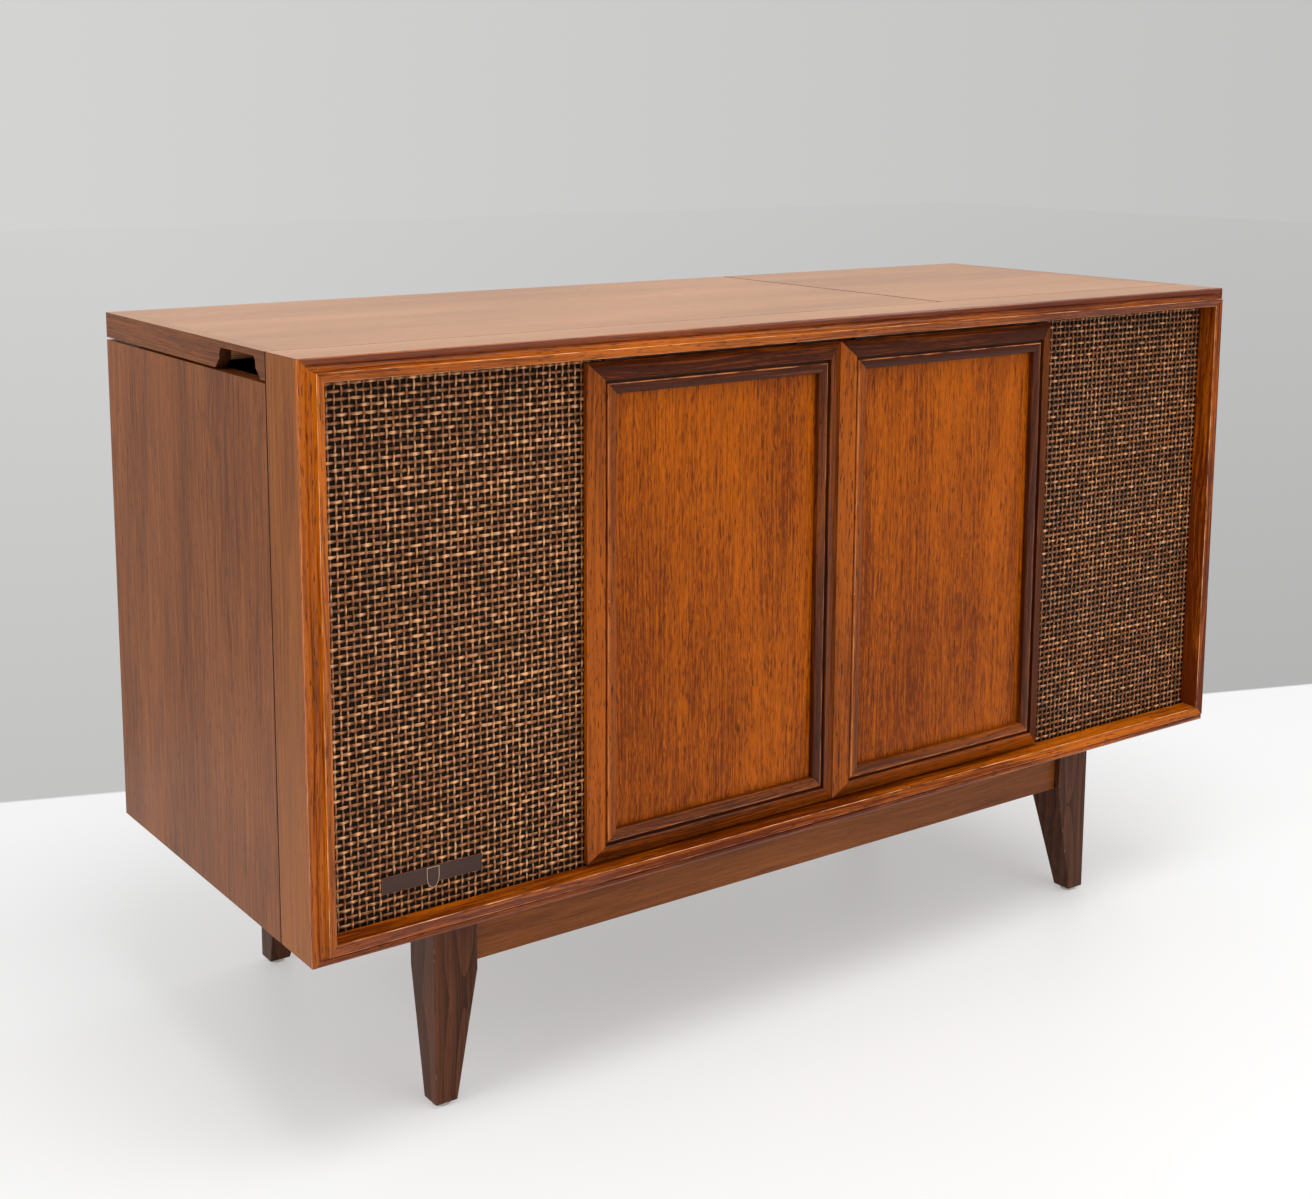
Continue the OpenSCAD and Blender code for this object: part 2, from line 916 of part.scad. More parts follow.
// Flat arm from the stud on the side to the pin in the quadrant's slot
module stay_arm() {
    translate([-inner_x + stay_wall, hinge_y + stay_a[0], hinge_z + stay_a[1]]) {
        difference() {
            union() {
                block([0, -stay_l, -stay_w / 2], [stay_t, 0, stay_w / 2]);
                for (y = [0, -stay_l])
                    translate([0, y, 0])
                        rotate([0, 90, 0])
                            cylinder(h = stay_t, r = stay_w / 2);
            }
            translate([-1, 0, 0])
                rotate([0, 90, 0])
                    cylinder(h = stay_t + 2, r = stay_pin_r + run);
        }
        translate([0, -stay_l, 0])
            rotate([0, 90, 0])
                cylinder(h = 2 * stay_t + stay_clear + 1, r = stay_pin_r);
    }
}

module left_stay_arm() {
    color("#b08d57")
        stay_arm();
}

module right_stay_arm() {
    color("#b08d57")
        mirror([1, 0, 0])
            stay_arm();
}

// Fixed halves of the hinges, and the studs that the stay arms turn on
module hinge_leaves() {
    color("#b08d57") {
        for (x = concat(left_hinges, right_hinges))
            fixed_leaf(x);
        both_ends()
            translate([-inner_x, hinge_y + stay_a[0], hinge_z + stay_a[1]])
                rotate([0, 90, 0]) {
                    cylinder(h = stay_wall + stay_t + stud_proud, r = stay_pin_r);
                    cylinder(h = stay_wall - gap, r = stay_pin_r + stud_collar);
                }
    }
}

// Door frame section: outer slope, groove, bead and the rebate for the panel
module door_stick(len) {
    r = door_bead_w / 2;
    rise = r * bead_flat;
    groove_floor = groove_d - slope_rise;
    pts = concat([[door_back, 0], [0, 0], [-slope_rise, slope_w], [groove_floor, slope_w],
            [groove_floor, slope_w + groove_w]],
        [for (i = [0:arc_n]) let (a = 180 * i / arc_n)
            [crest_set - slope_rise + rise - rise * sin(a), door_stick_w - r - r * cos(a)]],
        [[panel_y, door_stick_w], [panel_y, door_rebate], [door_back, door_rebate]]);
    mitred_stick(len, pts, door_stick_w + 1);
}

module door_frame() {
    x0 = -door_span;
    xm = x0 + door_w / 2;
    zm = (door_bottom + door_top) / 2;
    color("#6e3a20") {
        translate([xm, 0, 0]) {
            on_bottom(door_bottom)
                door_stick(door_w);
            on_top(door_top)
                door_stick(door_w);
        }
        on_left(x0, zm)
            door_stick(door_h);
        on_right(x0 + door_w, zm)
            door_stick(door_h);
    }
}

module door_panel() {
    edge = door_rebate + gap;
    color("#b4651f")
        block([-door_span + edge, front + panel_y, door_bottom + edge],
            [-door_meet / 2 - edge, front + panel_y + panel_t, door_top - edge]);
}

module door_guides() {
    color("#2a211b")
        for (x = [-door_span + guide_in, -door_meet / 2 - guide_in - guide_l]) {
            block([x, front + door_back, floor_z + board_t + track_t + gap],
                [x + guide_l, front + door_back + guide_t, door_bottom + guide_up]);
            block([x, front + door_back, door_top - guide_up],
                [x + guide_l, front + door_back + guide_t, top_z - board_t - track_t - gap]);
        }
}

module left_door_frame() {
    door_frame();
}

module left_door_panel() {
    door_panel();
}

module door_guides_left() {
    door_guides();
}

module right_door_frame() {
    mirror([1, 0, 0])
        door_frame();
}

module right_door_panel() {
    mirror([1, 0, 0])
        door_panel();
}

module door_guides_right() {
    mirror([1, 0, 0])
        door_guides();
}

// Strips in the groove above and below the doors
module door_tracks() {
    x1 = half_w - lip_w - gap;
    color("#c9b07a")
        for (z = [floor_z + board_t, top_z - board_t - track_t])
            block([-x1, front + groove_y, z], [x1, front + grille_y, z + track_t]);
}

// Block across the corner behind a leg, from apron to apron; s is the way inwards
module corner_block(side_x, apron_y, leg_y, s) {
    translate([0, 0, floor_z - block_h])
        linear_extrude(block_h)
            polygon([[leg_x - block_l, apron_y + s * glue], [leg_x - glue, apron_y + s * glue],
                [leg_x - glue, leg_y + s * glue], [side_x - glue, leg_y + s * glue],
                [side_x - glue, leg_y + s * block_l]]);
}

// Aprons between the legs, with a glued block in each corner
module stand_rails() {
    x1 = leg_x + leg_top - apron_in;
    y0 = front + leg_front + apron_in;
    y1 = leg_back - apron_in;
    z0 = floor_z - apron_h;
    color("#84522f") {
        block([-leg_x, y0, z0], [leg_x, y0 + apron_t, floor_z]);
        block([-leg_x, y1 - apron_t, z0], [leg_x, y1, floor_z]);
        both_ends() {
            block([x1 - apron_t, front + leg_front + leg_top, floor_z - end_apron_h], [x1, leg_rear, floor_z]);
            corner_block(x1 - apron_t, y0 + apron_t, front + leg_front + leg_top, 1);
            corner_block(x1 - apron_t, y1 - apron_t, leg_rear, -1);
        }
    }
}

// Tapered leg: outer faces upright, inner faces drawn in below the straight part
module leg() {
    z1 = leg_h - leg_straight;
    pts = [[0, 0], [leg_foot, 0], [leg_top, z1], [leg_top, leg_h], [0, leg_h]];
    translate([0, 0, glide_h])
        intersection() {
            translate([0, leg_top, 0])
                rotate([90, 0, 0])
                    linear_extrude(leg_top)
                        polygon(pts);
            rotate([90, 0, 90])
                linear_extrude(leg_top)
                    polygon(pts);
        }
}

module four_legs() {
    both_ends() {
        translate([-leg_x - leg_top, front + leg_front, 0])
            children();
        translate([-leg_x - leg_top, leg_rear + leg_top, 0])
            mirror([0, 1, 0])
                children();
    }
}

module legs() {
    color("#5a3524")
        four_legs()
            leg();
}

module glides() {
    color("#4a4744")
        four_legs()
            translate([leg_foot / 2, leg_foot / 2, 0])
                cylinder(h = glide_h, r = glide_r);
}

// Hole through the plate and any boss on it
module plate_hole(x, y, r) {
    translate([x, y, plate_z - hub_down - 1])
        cylinder(h = hub_down + boss_h + 2, r = r);
}

// Pressed steel base, with studs and bosses for what turns on it
module changer_plate() {
    color("#d9d2c0") {
        difference() {
            union() {
                translate([plate_x, plate_y, deck_z])
                    pan(plate_w, plate_d, plate_h, plate_corner, sheet_t);
                translate([over_x, over_y, plate_z])
                    cylinder(h = boss_h, r = post_r + boss_w);
                translate([spin_x, spin_y, plate_z - hub_down])
                    cylinder(h = hub_down + platter_z - plate_z - gap, r = hub_r - 3);
            }
            plate_hole(over_x, over_y, post_r + run);
            plate_hole(spin_x, spin_y, spindle_r + run);
            plate_hole(pulley_x, pulley_y, pulley_r + 3);
            plate_hole(arm_x, arm_y, yoke_r + run);
            plate_hole(lever_x, lever_y, shaft_r + run);
        }
        translate([idler_x, idler_y, plate_z - 0.5])
            cylinder(h = drive_z - plate_z + drive_t + 1.5, r = idler_stud_r);
    }
}

// Turned platter: top disc, deep rim that the idler drives, and hub
module platter() {
    color("#b9b4a8")
        translate([spin_x, spin_y, platter_z])
            rotate_extrude($fn = 96)
                polygon([[spindle_r + run, 0], [hub_r, 0], [hub_r, platter_h - platter_web],
                    [rim_in, platter_h - platter_web], [rim_in, 0], [platter_r - rim_ease, 0],
                    [platter_r, rim_ease], [platter_r, platter_h - rim_ease],
                    [platter_r - rim_ease, platter_h], [spindle_r + run, platter_h]]);
}

module platter_mat() {
    color("#35302c")
        translate([spin_x, spin_y, mat_z])
            rotate_extrude($fn = 96)
                polygon([[spindle_r + gap, 0], [platter_r - mat_in, 0],
                    [platter_r - mat_in, mat_t - mat_ease], [platter_r - mat_in - mat_ease, mat_t],
                    [spindle_r + gap, mat_t]]);
}

module spindle() {
    color("#c8c8c4")
        translate([spin_x, spin_y, plate_z - hub_down])
            union() {
                cylinder(h = play_z + spindle_h - tip_h - plate_z + hub_down, r = spindle_r);
                translate([0, 0, play_z + spindle_h - tip_h - plate_z + hub_down])
                    cylinder(h = tip_h, r1 = spindle_r, r2 = spindle_r / 2);
            }
}

module changer_motor() {
    color("#6f6f6c")
        difference() {
            union() {
                translate([pulley_x, pulley_y, plate_z - sheet_t - motor_h])
                    cylinder(h = motor_h, r = motor_r);
                translate([pulley_x - motor_r - lug_out, pulley_y - lug_w / 2,
                    plate_z - sheet_t - motor_h + lug_in])
                    cube([2 * (motor_r + lug_out), lug_w, motor_h - 2 * lug_in]);
            }
            translate([pulley_x, pulley_y, plate_z - sheet_t - motor_h + motor_bearing])
                cylinder(h = motor_h, r = motor_shaft_r + run);
        }
}

module motor_pulley() {
    color("#c9a254")
        translate([pulley_x, pulley_y, 0]) {
            translate([0, 0, plate_z - sheet_t - motor_h + motor_bearing + gap])
                cylinder(h = drive_z - plate_z + sheet_t + motor_h - motor_bearing, r = motor_shaft_r);
            translate([0, 0, drive_z])
                cylinder(h = drive_t, r = pulley_r);
        }
}

module idler_wheel() {
    color("#3a3633")
        translate([idler_x, idler_y, drive_z])
            difference() {
                cylinder(h = drive_t, r = idler_r);
                translate([0, 0, -1])
                    cylinder(h = drive_t + 2, r = idler_stud_r + run);
            }
}

// Bearing post under the arm, and the rest that holds its tube when parked
module tonearm_posts() {
    color("#cfc8b6") {
        translate([arm_x, arm_y, plate_z])
            difference() {
                cylinder(h = arm_post_h, r = arm_post_r);
                translate([0, 0, -1])
                    cylinder(h = arm_post_h + 2, r = yoke_r + run);
            }
        translate([arm_x, rest_y, plate_z]) {
            cylinder(h = boss_h, r = rest_r);
            translate([-arm_r, -rest_w / 2, 0])
                cube([2 * arm_r + 3, rest_w, arm_z - arm_r - gap - plate_z]);
            translate([arm_r + gap, -rest_w / 2, 0])
                cube([3 - gap, rest_w, arm_z + 2 - plate_z]);
        }
    }
}

// Fork that turns on the post; the arm tilts on the axle between its cheeks
module tonearm_yoke() {
    color("#bdb7a8")
        translate([arm_x, arm_y, plate_z + arm_post_h + gap]) {
            translate([0, 0, -arm_post_h - sheet_t - gap])
                cylinder(h = arm_post_h + sheet_t + gap, r = yoke_r);
            translate([-yoke_w / 2, -yoke_d / 2, 0])
                cube([yoke_w, yoke_d, yoke_t]);
            for (x = [-yoke_w / 2, yoke_w / 2 - cheek_t])
                translate([x, -cheek_d / 2, 0])
                    cube([cheek_t, cheek_d, arm_z + cheek_up - plate_z - arm_post_h - gap]);
            translate([-yoke_w / 2, 0, arm_z - plate_z - arm_post_h - gap])
                rotate([0, 90, 0])
                    cylinder(h = yoke_w, r = axle_r);
        }
}

// Tube, pivot block, counterweight, head shell, cartridge and stylus
module tonearm() {
    shell_y = -arm_l - shell_over;
    needle_y = -arm_l - 4;
    color("#e3ddcc")
        translate([arm_x, arm_y, arm_z])
            difference() {
                union() {
                    translate([0, tube_back, 0])
                        rotate([90, 0, 0])
                            cylinder(h = tube_back - shell_y - shell_l + 4, r = arm_r);
                    cube([pivot_w, pivot_w, pivot_h], center = true);
                    translate([0, weight_y, 0])
                        rotate([90, 0, 0])
                            cylinder(h = weight_l, r = weight_r);
                    block([-shell_w / 2, shell_y, -shell_under], [shell_w / 2, shell_y + shell_l, arm_r]);
                    block([-cartridge_w / 2, needle_y, -shell_under - cartridge_h],
                        [cartridge_w / 2, needle_y + cartridge_l, -shell_under]);
                    translate([0, -arm_l, stylus_z - arm_z])
                        cylinder(h = 7, r1 = 0.6, r2 = 2.4, $fn = 24);
                    block([shell_w / 2, shell_y + 4, 0], [shell_w / 2 + 10, shell_y + 10, 2]);
                }
                rotate([0, 90, 0])
                    cylinder(h = 2 * pivot_w, r = axle_r + run, center = true);
            }
}

// Rod that steadies the stack of records, with its cap over the spindle
module overarm() {
    color("#cdc6b4")
        translate([over_x, over_y, 0]) {
            translate([0, 0, plate_z - sheet_t])
                cylinder(h = over_z - plate_z + sheet_t + rod_r, r = post_r);
            rotate([0, 0, over_a]) {
                translate([0, 0, over_z])
                    rotate([0, 90, 0])
                        cylinder(h = over_l, r = rod_r);
                translate([over_l, 0, over_z - cap_h / 2])
                    cylinder(h = cap_h, r = cap_r);
            }
        }
}

module speed_lever() {
    color("#2f2b29")
        translate([lever_x, lever_y, plate_z]) {
            translate([0, 0, -sheet_t])
                cylinder(h = sheet_t + 1, r = shaft_r);
            translate([0, 0, gap])
                cylinder(h = lever_h + 1, r = lever_r);
            translate([-lever_l, -lever_w / 2, gap + 1])
                cube([lever_l, lever_w, lever_h]);
        }
}

// Panel on deep sides, with the dial's window and the holes for the knob shafts
module control_panel() {
    color("#b59a63") {
        difference() {
            translate([tuner_x, tuner_y, deck_z])
                pan(tuner_w, tuner_d, tuner_h, panel_corner, sheet_t);
            translate([tuner_x - dial_w / 2, dial_y - dial_d / 2, tuner_z - 2 * sheet_t])
                cube([dial_w, dial_d, 4 * sheet_t]);
            for (i = knob_i)
                translate([tuner_x + i * knob_step, knob_y, tuner_z - 2 * sheet_t])
                    cylinder(h = 4 * sheet_t, r = shaft_r + run);
        }
        translate([tuner_x, dial_rail_y, dial_rail_z])
            rotate([0, 90, 0])
                cylinder(h = tuner_w - 2 * sheet_t, r = dial_rail_r, center = true);
    }
}

module dial_window() {
    color("#bcd0c8")
        block([tuner_x - dial_w / 2, dial_y - dial_d / 2, tuner_z - glass_t],
            [tuner_x + dial_w / 2, dial_y + dial_d / 2, tuner_z]);
}

// Needle under the glass, on a slide that runs along the rail
module dial_pointer() {
    color("#c8442a")
        difference() {
            union() {
                block([tuner_x - needle_w / 2, dial_y - dial_d / 2 + scale_lap, dial_rail_z - needle_h / 2],
                    [tuner_x + needle_w / 2, dial_rail_y, dial_rail_z + needle_h / 2]);
                block([tuner_x - slide_w / 2, dial_rail_y - slide_h / 2, dial_rail_z - slide_h / 2],
                    [tuner_x + slide_w / 2, dial_rail_y + slide_h / 2, dial_rail_z + slide_h / 2]);
            }
            translate([tuner_x, dial_rail_y, dial_rail_z])
                rotate([0, 90, 0])
                    cylinder(h = 2 * slide_w, r = dial_rail_r + run, center = true);
        }
}

// Turned knob on its shaft, with a mark cut across its top
module knob(i, r) {
    color("#c8ab6c")
        translate([tuner_x + i * knob_step, knob_y, tuner_z]) {
            translate([0, 0, -sheet_t - control_h + control_floor + gap])
                cylinder(h = sheet_t + control_h - control_floor - gap + knob_gap + 1, r = shaft_r);
            difference() {
                translate([0, 0, knob_gap])
                    rotate_extrude()
                        polygon([[0, 0], [r, 0], [r - 1, knob_h - knob_rim], [r - knob_rim, knob_h],
                            [r - 2 * knob_rim, knob_h - knob_dish], [0, knob_h - knob_dish]]);
                translate([-mark_w / 2, r / 3, knob_gap + knob_h - 2])
                    cube([mark_w, r, 3]);
            }
        }
}

module volume_knob() {
    knob(-1.5, knob_r);
}

module tone_knob() {
    knob(-0.5, knob_r);
}

module selector_knob() {
    knob(0.5, knob_r);
}

module tuning_knob() {
    knob(1.5, tune_r);
}

// Chassis under the panel, with the scale plate that shows in the window
module tuner_chassis() {
    color("#8d8f8a") {
        for (i = knob_i)
            translate([tuner_x + i * knob_step, knob_y, tuner_z - sheet_t - control_h])
                difference() {
                    cylinder(h = control_h, r = control_r);
                    translate([0, 0, control_floor])
                        cylinder(h = control_h, r = shaft_r + run);
                }
        block([tuner_x - tuner_w / 2 + chassis_in, tuner_y - chassis_d / 2, deck_z],
            [tuner_x + tuner_w / 2 - chassis_in, tuner_y + chassis_d / 2, chassis_z]);
        block([tuner_x - dial_w / 2 - scale_lap, dial_y - dial_d / 2 - scale_lap, scale_z - scale_t],
            [tuner_x + dial_w / 2 + scale_lap, dial_y + dial_d / 2 - 1, scale_z]);
        for (s = [-1, 1])
            block([tuner_x + s * (dial_w / 2 - scale_post) - scale_post / 2,
                    tuner_y + chassis_d / 2 - scale_post, chassis_z],
                [tuner_x + s * (dial_w / 2 - scale_post) + scale_post / 2,
                    tuner_y + chassis_d / 2, scale_z - scale_t]);
    }
}

// Amplifier chassis with its transformer, and the terminal plate on the back
module amplifier() {
    color("#75787a") {
        block([amp_x, amp_y, amp_z], [amp_x + amp_w, amp_y + amp_d, amp_z + amp_h]);
        translate([amp_x + 10, amp_y + (amp_d - transformer_l) / 2, amp_z + amp_h])
            cube([transformer_l, transformer_l, transformer_h]);
        translate([amp_x + (amp_w - terminal_l) / 2, back_y + back_t, amp_z])
            difference() {
                cube([terminal_l, terminal_t, terminal_h]);
                translate([2 * inlet_r, terminal_t / 4, terminal_h / 2])
                    rotate([-90, 0, 0])
                        cylinder(h = terminal_t, r = inlet_r);
            }
    }
}

module valves() {
    color("#cfd8d6")
        for (i = [0:valve_n - 1])
            translate([amp_x + valve_x + i * (amp_w - valve_x - 2 * valve_r) / (valve_n - 1),
                amp_y + amp_d / 2, amp_z + amp_h])
                rotate_extrude()
                    polygon([[0, 0], [valve_r, 0], [valve_r, valve_h - valve_r],
                        [valve_r * 0.75, valve_h - 4], [valve_r * 0.3, valve_h], [0, valve_h + 3]]);
}

left_side();
right_side();
bottom_panel();
back_panel();
back_screws();
front_boards();
moulding_top();
moulding_bottom();
moulding_left();
moulding_right();
inner_boards();
top_rails();
deck();
speaker_baffles();
left_grille();
right_grille();
badge_plate();
speaker_frames();
speaker_cones();
left_lid();
left_lid_fascia();
left_lid_fittings();
left_stay_arm();
right_lid();
right_lid_fascia();
right_lid_fittings();
right_stay_arm();
hinge_leaves();
left_door_frame();
left_door_panel();
right_door_frame();
right_door_panel();
door_guides_left();
door_guides_right();
door_tracks();
stand_rails();
legs();
glides();
changer_plate();
platter();
platter_mat();
spindle();
changer_motor();
motor_pulley();
idler_wheel();
tonearm_posts();
tonearm_yoke();
tonearm();
overarm();
speed_lever();
control_panel();
dial_window();
dial_pointer();
tuning_knob();
volume_knob();
tone_knob();
selector_knob();
tuner_chassis();
amplifier();
valves();
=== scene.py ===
import math
import random

import bmesh
import bpy
from mathutils import Matrix, Vector


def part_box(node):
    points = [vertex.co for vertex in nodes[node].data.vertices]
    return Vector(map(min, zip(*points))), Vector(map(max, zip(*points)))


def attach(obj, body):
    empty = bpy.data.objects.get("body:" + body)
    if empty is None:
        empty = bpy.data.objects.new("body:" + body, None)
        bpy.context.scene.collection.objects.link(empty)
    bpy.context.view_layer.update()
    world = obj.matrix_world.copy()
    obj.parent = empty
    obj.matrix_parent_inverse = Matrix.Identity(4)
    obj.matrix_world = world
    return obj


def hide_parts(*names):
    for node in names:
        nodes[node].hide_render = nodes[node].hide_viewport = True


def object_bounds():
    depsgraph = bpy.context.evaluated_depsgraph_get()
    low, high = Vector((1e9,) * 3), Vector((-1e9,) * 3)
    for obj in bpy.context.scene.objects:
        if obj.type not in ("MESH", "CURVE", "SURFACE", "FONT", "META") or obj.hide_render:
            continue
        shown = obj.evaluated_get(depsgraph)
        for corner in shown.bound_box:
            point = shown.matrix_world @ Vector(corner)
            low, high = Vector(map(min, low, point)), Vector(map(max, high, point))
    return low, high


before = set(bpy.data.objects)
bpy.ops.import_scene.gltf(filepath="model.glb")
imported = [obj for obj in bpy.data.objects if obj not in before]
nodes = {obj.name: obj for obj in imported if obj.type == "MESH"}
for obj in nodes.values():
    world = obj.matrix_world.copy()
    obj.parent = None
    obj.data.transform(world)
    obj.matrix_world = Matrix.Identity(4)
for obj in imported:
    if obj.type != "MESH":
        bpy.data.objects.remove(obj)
cad_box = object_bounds()

# The camera stands off the console's left end, a little above the lids, and looks down at it.
# Place, turn and lens come from the corners of the cabinet as the photograph shows them.
# The small shift is there because the photograph holds more floor than wall.
PHOTO_W = 1312
PHOTO_H = 1199
SENSOR = 36.0
FOCAL_PX = 1868.6
AXIS_ROW = 407.3
FAR_CLIP = 60
eye = Vector((-1.2742, -1.6635, 0.9522))
turn, tilt, roll = 0.6243, -0.1540, 0.0044

ahead = Vector((math.sin(turn) * math.cos(tilt), math.cos(turn) * math.cos(tilt), math.sin(tilt)))
level = Vector((math.cos(turn), -math.sin(turn), 0))
above = level.cross(ahead)
right = level * math.cos(roll) + above * math.sin(roll)
top = above * math.cos(roll) - level * math.sin(roll)

camera_data = bpy.data.cameras.new("camera")
camera_data.sensor_fit = "HORIZONTAL"
camera_data.sensor_width = SENSOR
camera_data.lens = FOCAL_PX / PHOTO_W * SENSOR
camera_data.shift_y = (AXIS_ROW - PHOTO_H / 2) / PHOTO_W
camera_data.clip_end = FAR_CLIP
camera = bpy.data.objects.new("camera", camera_data)
bpy.context.collection.objects.link(camera)
camera.matrix_world = Matrix((
    (right.x, top.x, -ahead.x, eye.x),
    (right.y, top.y, -ahead.y, eye.y),
    (right.z, top.z, -ahead.z, eye.z),
    (0, 0, 0, 1),
))
bpy.context.scene.camera = camera


# The console stands on a white painted floor in front of a grey wall, darker to the right and
# towards the floor, under three soft boxes and a long narrow one that draws the lines of light
# along the mouldings. The wall is the world; the floor takes its colour beyond their meeting.
WALL_GREY = (1.0, 1.0, 0.993)
WALL_LEFT = 0.655
WALL_RIGHT = 0.548
WALL_FOOT = 0.83
WALL_ALONG = (0.941, -0.338, 0)
WALL_ENDS = (-0.06, 0.58)
WALL_GLOW = (1.0, 0.99, 0.98)
GLOW = 0.60
WALL_FACING = (0.338, 0.941, 0)
WALL_AT = 0.658
WALL_BLUR = 0.004
FOOT_REACH = 2.0
FLOOR_HAZE = 0.34
FLOOR_HALF = 14.0


def put(tree, kind, inputs=None, **settings):
    """Adds a shader node; an input is either a value or a socket to link from."""
    made = tree.nodes.new(kind)
    for key, value in settings.items():
        setattr(made, key, value)
    for key, value in (inputs or {}).items():
        if isinstance(value, bpy.types.NodeSocket):
            tree.links.new(value, made.inputs[key])
        else:
            made.inputs[key].default_value = value
    return made


def new_material(name):
    material = bpy.data.materials.new(name)
    material.use_nodes = True
    material.node_tree.nodes.clear()
    return material, material.node_tree


def finish_surface(tree, shader):
    put(tree, "ShaderNodeOutputMaterial", {"Surface": shader})


def mix_colour(tree, factor, a, b):
    """A colour between a and b, each a colour socket or three numbers."""
    a = a if isinstance(a, bpy.types.NodeSocket) else (*a, 1)
    b = b if isinstance(b, bpy.types.NodeSocket) else (*b, 1)
    return put(tree, "ShaderNodeMix", {"Factor": factor, "A": a, "B": b},
               data_type="RGBA").outputs["Result"]


def noise(tree, place, scale, detail=2.0):
    """Noise drawn out by a separate scale along each axis."""
    stretched = put(tree, "ShaderNodeMapping", {"Vector": place, "Scale": scale})
    return put(tree, "ShaderNodeTexNoise", {
        "Vector": stretched.outputs[0], "Scale": 1.0, "Detail": detail}).outputs


def band(tree, value, low, high, to_low=0.0, to_high=1.0):
    return put(tree, "ShaderNodeMapRange", {
        "Value": value, "From Min": low, "From Max": high, "To Min": to_low,
        "To Max": to_high}).outputs["Result"]


def maths(tree, operation, *values, clamp=False):
    """One step of arithmetic on numbers or sockets."""
    return put(tree, "ShaderNodeMath", dict(enumerate(values)), operation=operation,
               use_clamp=clamp).outputs[0]


def multiply_add(tree, a, b, c):
    return maths(tree, "MULTIPLY_ADD", a, b, c)


def vector_maths(tree, operation, *values):
    """One step of arithmetic on vectors; a dot product comes out as a number."""
    made = put(tree, "ShaderNodeVectorMath", dict(enumerate(values)), operation=operation)
    return made.outputs["Value" if operation == "DOT_PRODUCT" else "Vector"]


def own_place(tree):
    return put(tree, "ShaderNodeTexCoord").outputs["Object"]


def seen_not_lit(tree):
    """One for rays from the camera, gloss and glass, which see the wall; zero for the rest."""
    path = put(tree, "ShaderNodeLightPath").outputs
    seen = maths(tree, "MAXIMUM", path["Is Camera Ray"], path["Is Glossy Ray"])
    return maths(tree, "MAXIMUM", seen, path["Is Transmission Ray"])


def wall_shade(tree, direction):
    """The wall's brightness, which falls from left to right."""
    unit = vector_maths(tree, "NORMALIZE", direction)
    along = vector_maths(tree, "DOT_PRODUCT", unit, WALL_ALONG)
    return band(tree, along, *WALL_ENDS, WALL_LEFT, WALL_RIGHT)


def painted_floor():
    material, tree = new_material("floor_paint")
    place = own_place(tree)
    cloud = noise(tree, place, (1.6, 1.6, 1.6), 4.0)["Fac"]
    near = put(tree, "ShaderNodeBsdfPrincipled", {
        "Base Color": mix_colour(tree, cloud, (0.93, 0.94, 0.95), (0.955, 0.965, 0.97)),
        "Roughness": band(tree, cloud, 0.3, 0.7, 0.30, 0.42), "Specular IOR Level": 0.3})
    seen = seen_not_lit(tree)
    white = put(tree, "ShaderNodeEmission", {"Color": (1, 1, 1, 1), "Strength": 1.0})
    near = put(tree, "ShaderNodeMixShader", {
        0: maths(tree, "MULTIPLY", seen, FLOOR_HAZE), 1: near.outputs[0], 2: white.outputs[0]})
    away = vector_maths(tree, "DOT_PRODUCT", place, WALL_FACING)
    # Points far out on the floor stand for points high up on the wall
    foot = maths(tree, "ADD", away, FOOT_REACH)
    foot = maths(tree, "DIVIDE", WALL_AT + FOOT_REACH, foot)
    rise = band(tree, foot, 1.0, 0.0, WALL_FOOT, 1.0)
    shade = maths(tree, "MULTIPLY", wall_shade(tree, place), rise)
    grey = mix_colour(tree, shade, (0, 0, 0), WALL_GREY)
    far = put(tree, "ShaderNodeEmission", {
        "Color": mix_colour(tree, seen, WALL_GLOW, grey),
        "Strength": multiply_add(tree, seen, 1 - GLOW, GLOW)})
    blend = band(tree, away, WALL_AT - WALL_BLUR, WALL_AT + WALL_BLUR)
    shader = put(tree, "ShaderNodeMixShader", {0: blend, 1: near.outputs[0], 2: far.outputs[0]})
    finish_surface(tree, shader.outputs[0])
    return material


floor_mesh = bpy.data.meshes.new("floor")
floor_mesh.from_pydata(
    [(-FLOOR_HALF, -FLOOR_HALF, 0), (FLOOR_HALF, -FLOOR_HALF, 0), (FLOOR_HALF, FLOOR_HALF, 0),
     (-FLOOR_HALF, FLOOR_HALF, 0)], [], [(0, 1, 2, 3)])
floor = bpy.data.objects.new("floor", floor_mesh)
bpy.context.collection.objects.link(floor)
floor.data.materials.append(painted_floor())

world = bpy.data.worlds.new("studio")
bpy.context.scene.world = world
world.use_nodes = True
sky = world.node_tree
sky.nodes.clear()
glow = put(sky, "ShaderNodeBackground", {"Color": (*WALL_GLOW, 1), "Strength": GLOW})
wall = put(sky, "ShaderNodeBackground", {
    "Color": (*WALL_GREY, 1),
    "Strength": wall_shade(sky, put(sky, "ShaderNodeTexCoord").outputs["Generated"])})
mixed = put(sky, "ShaderNodeMixShader", {
    0: seen_not_lit(sky), 1: glow.outputs[0], 2: wall.outputs[0]})
put(sky, "ShaderNodeOutputWorld", {"Surface": mixed.outputs[0]})
bpy.context.scene.view_settings.view_transform = "Standard"


def soft_box(name, place, aim, size, power):
    lamp = bpy.data.lights.new(name, "AREA")
    lamp.shape = "RECTANGLE"
    lamp.size, lamp.size_y = size
    lamp.energy = power
    box = bpy.data.objects.new(name, lamp)
    box.location = place
    box.rotation_euler = (Vector(aim) - Vector(place)).to_track_quat("-Z", "Y").to_euler()
    bpy.context.collection.objects.link(box)


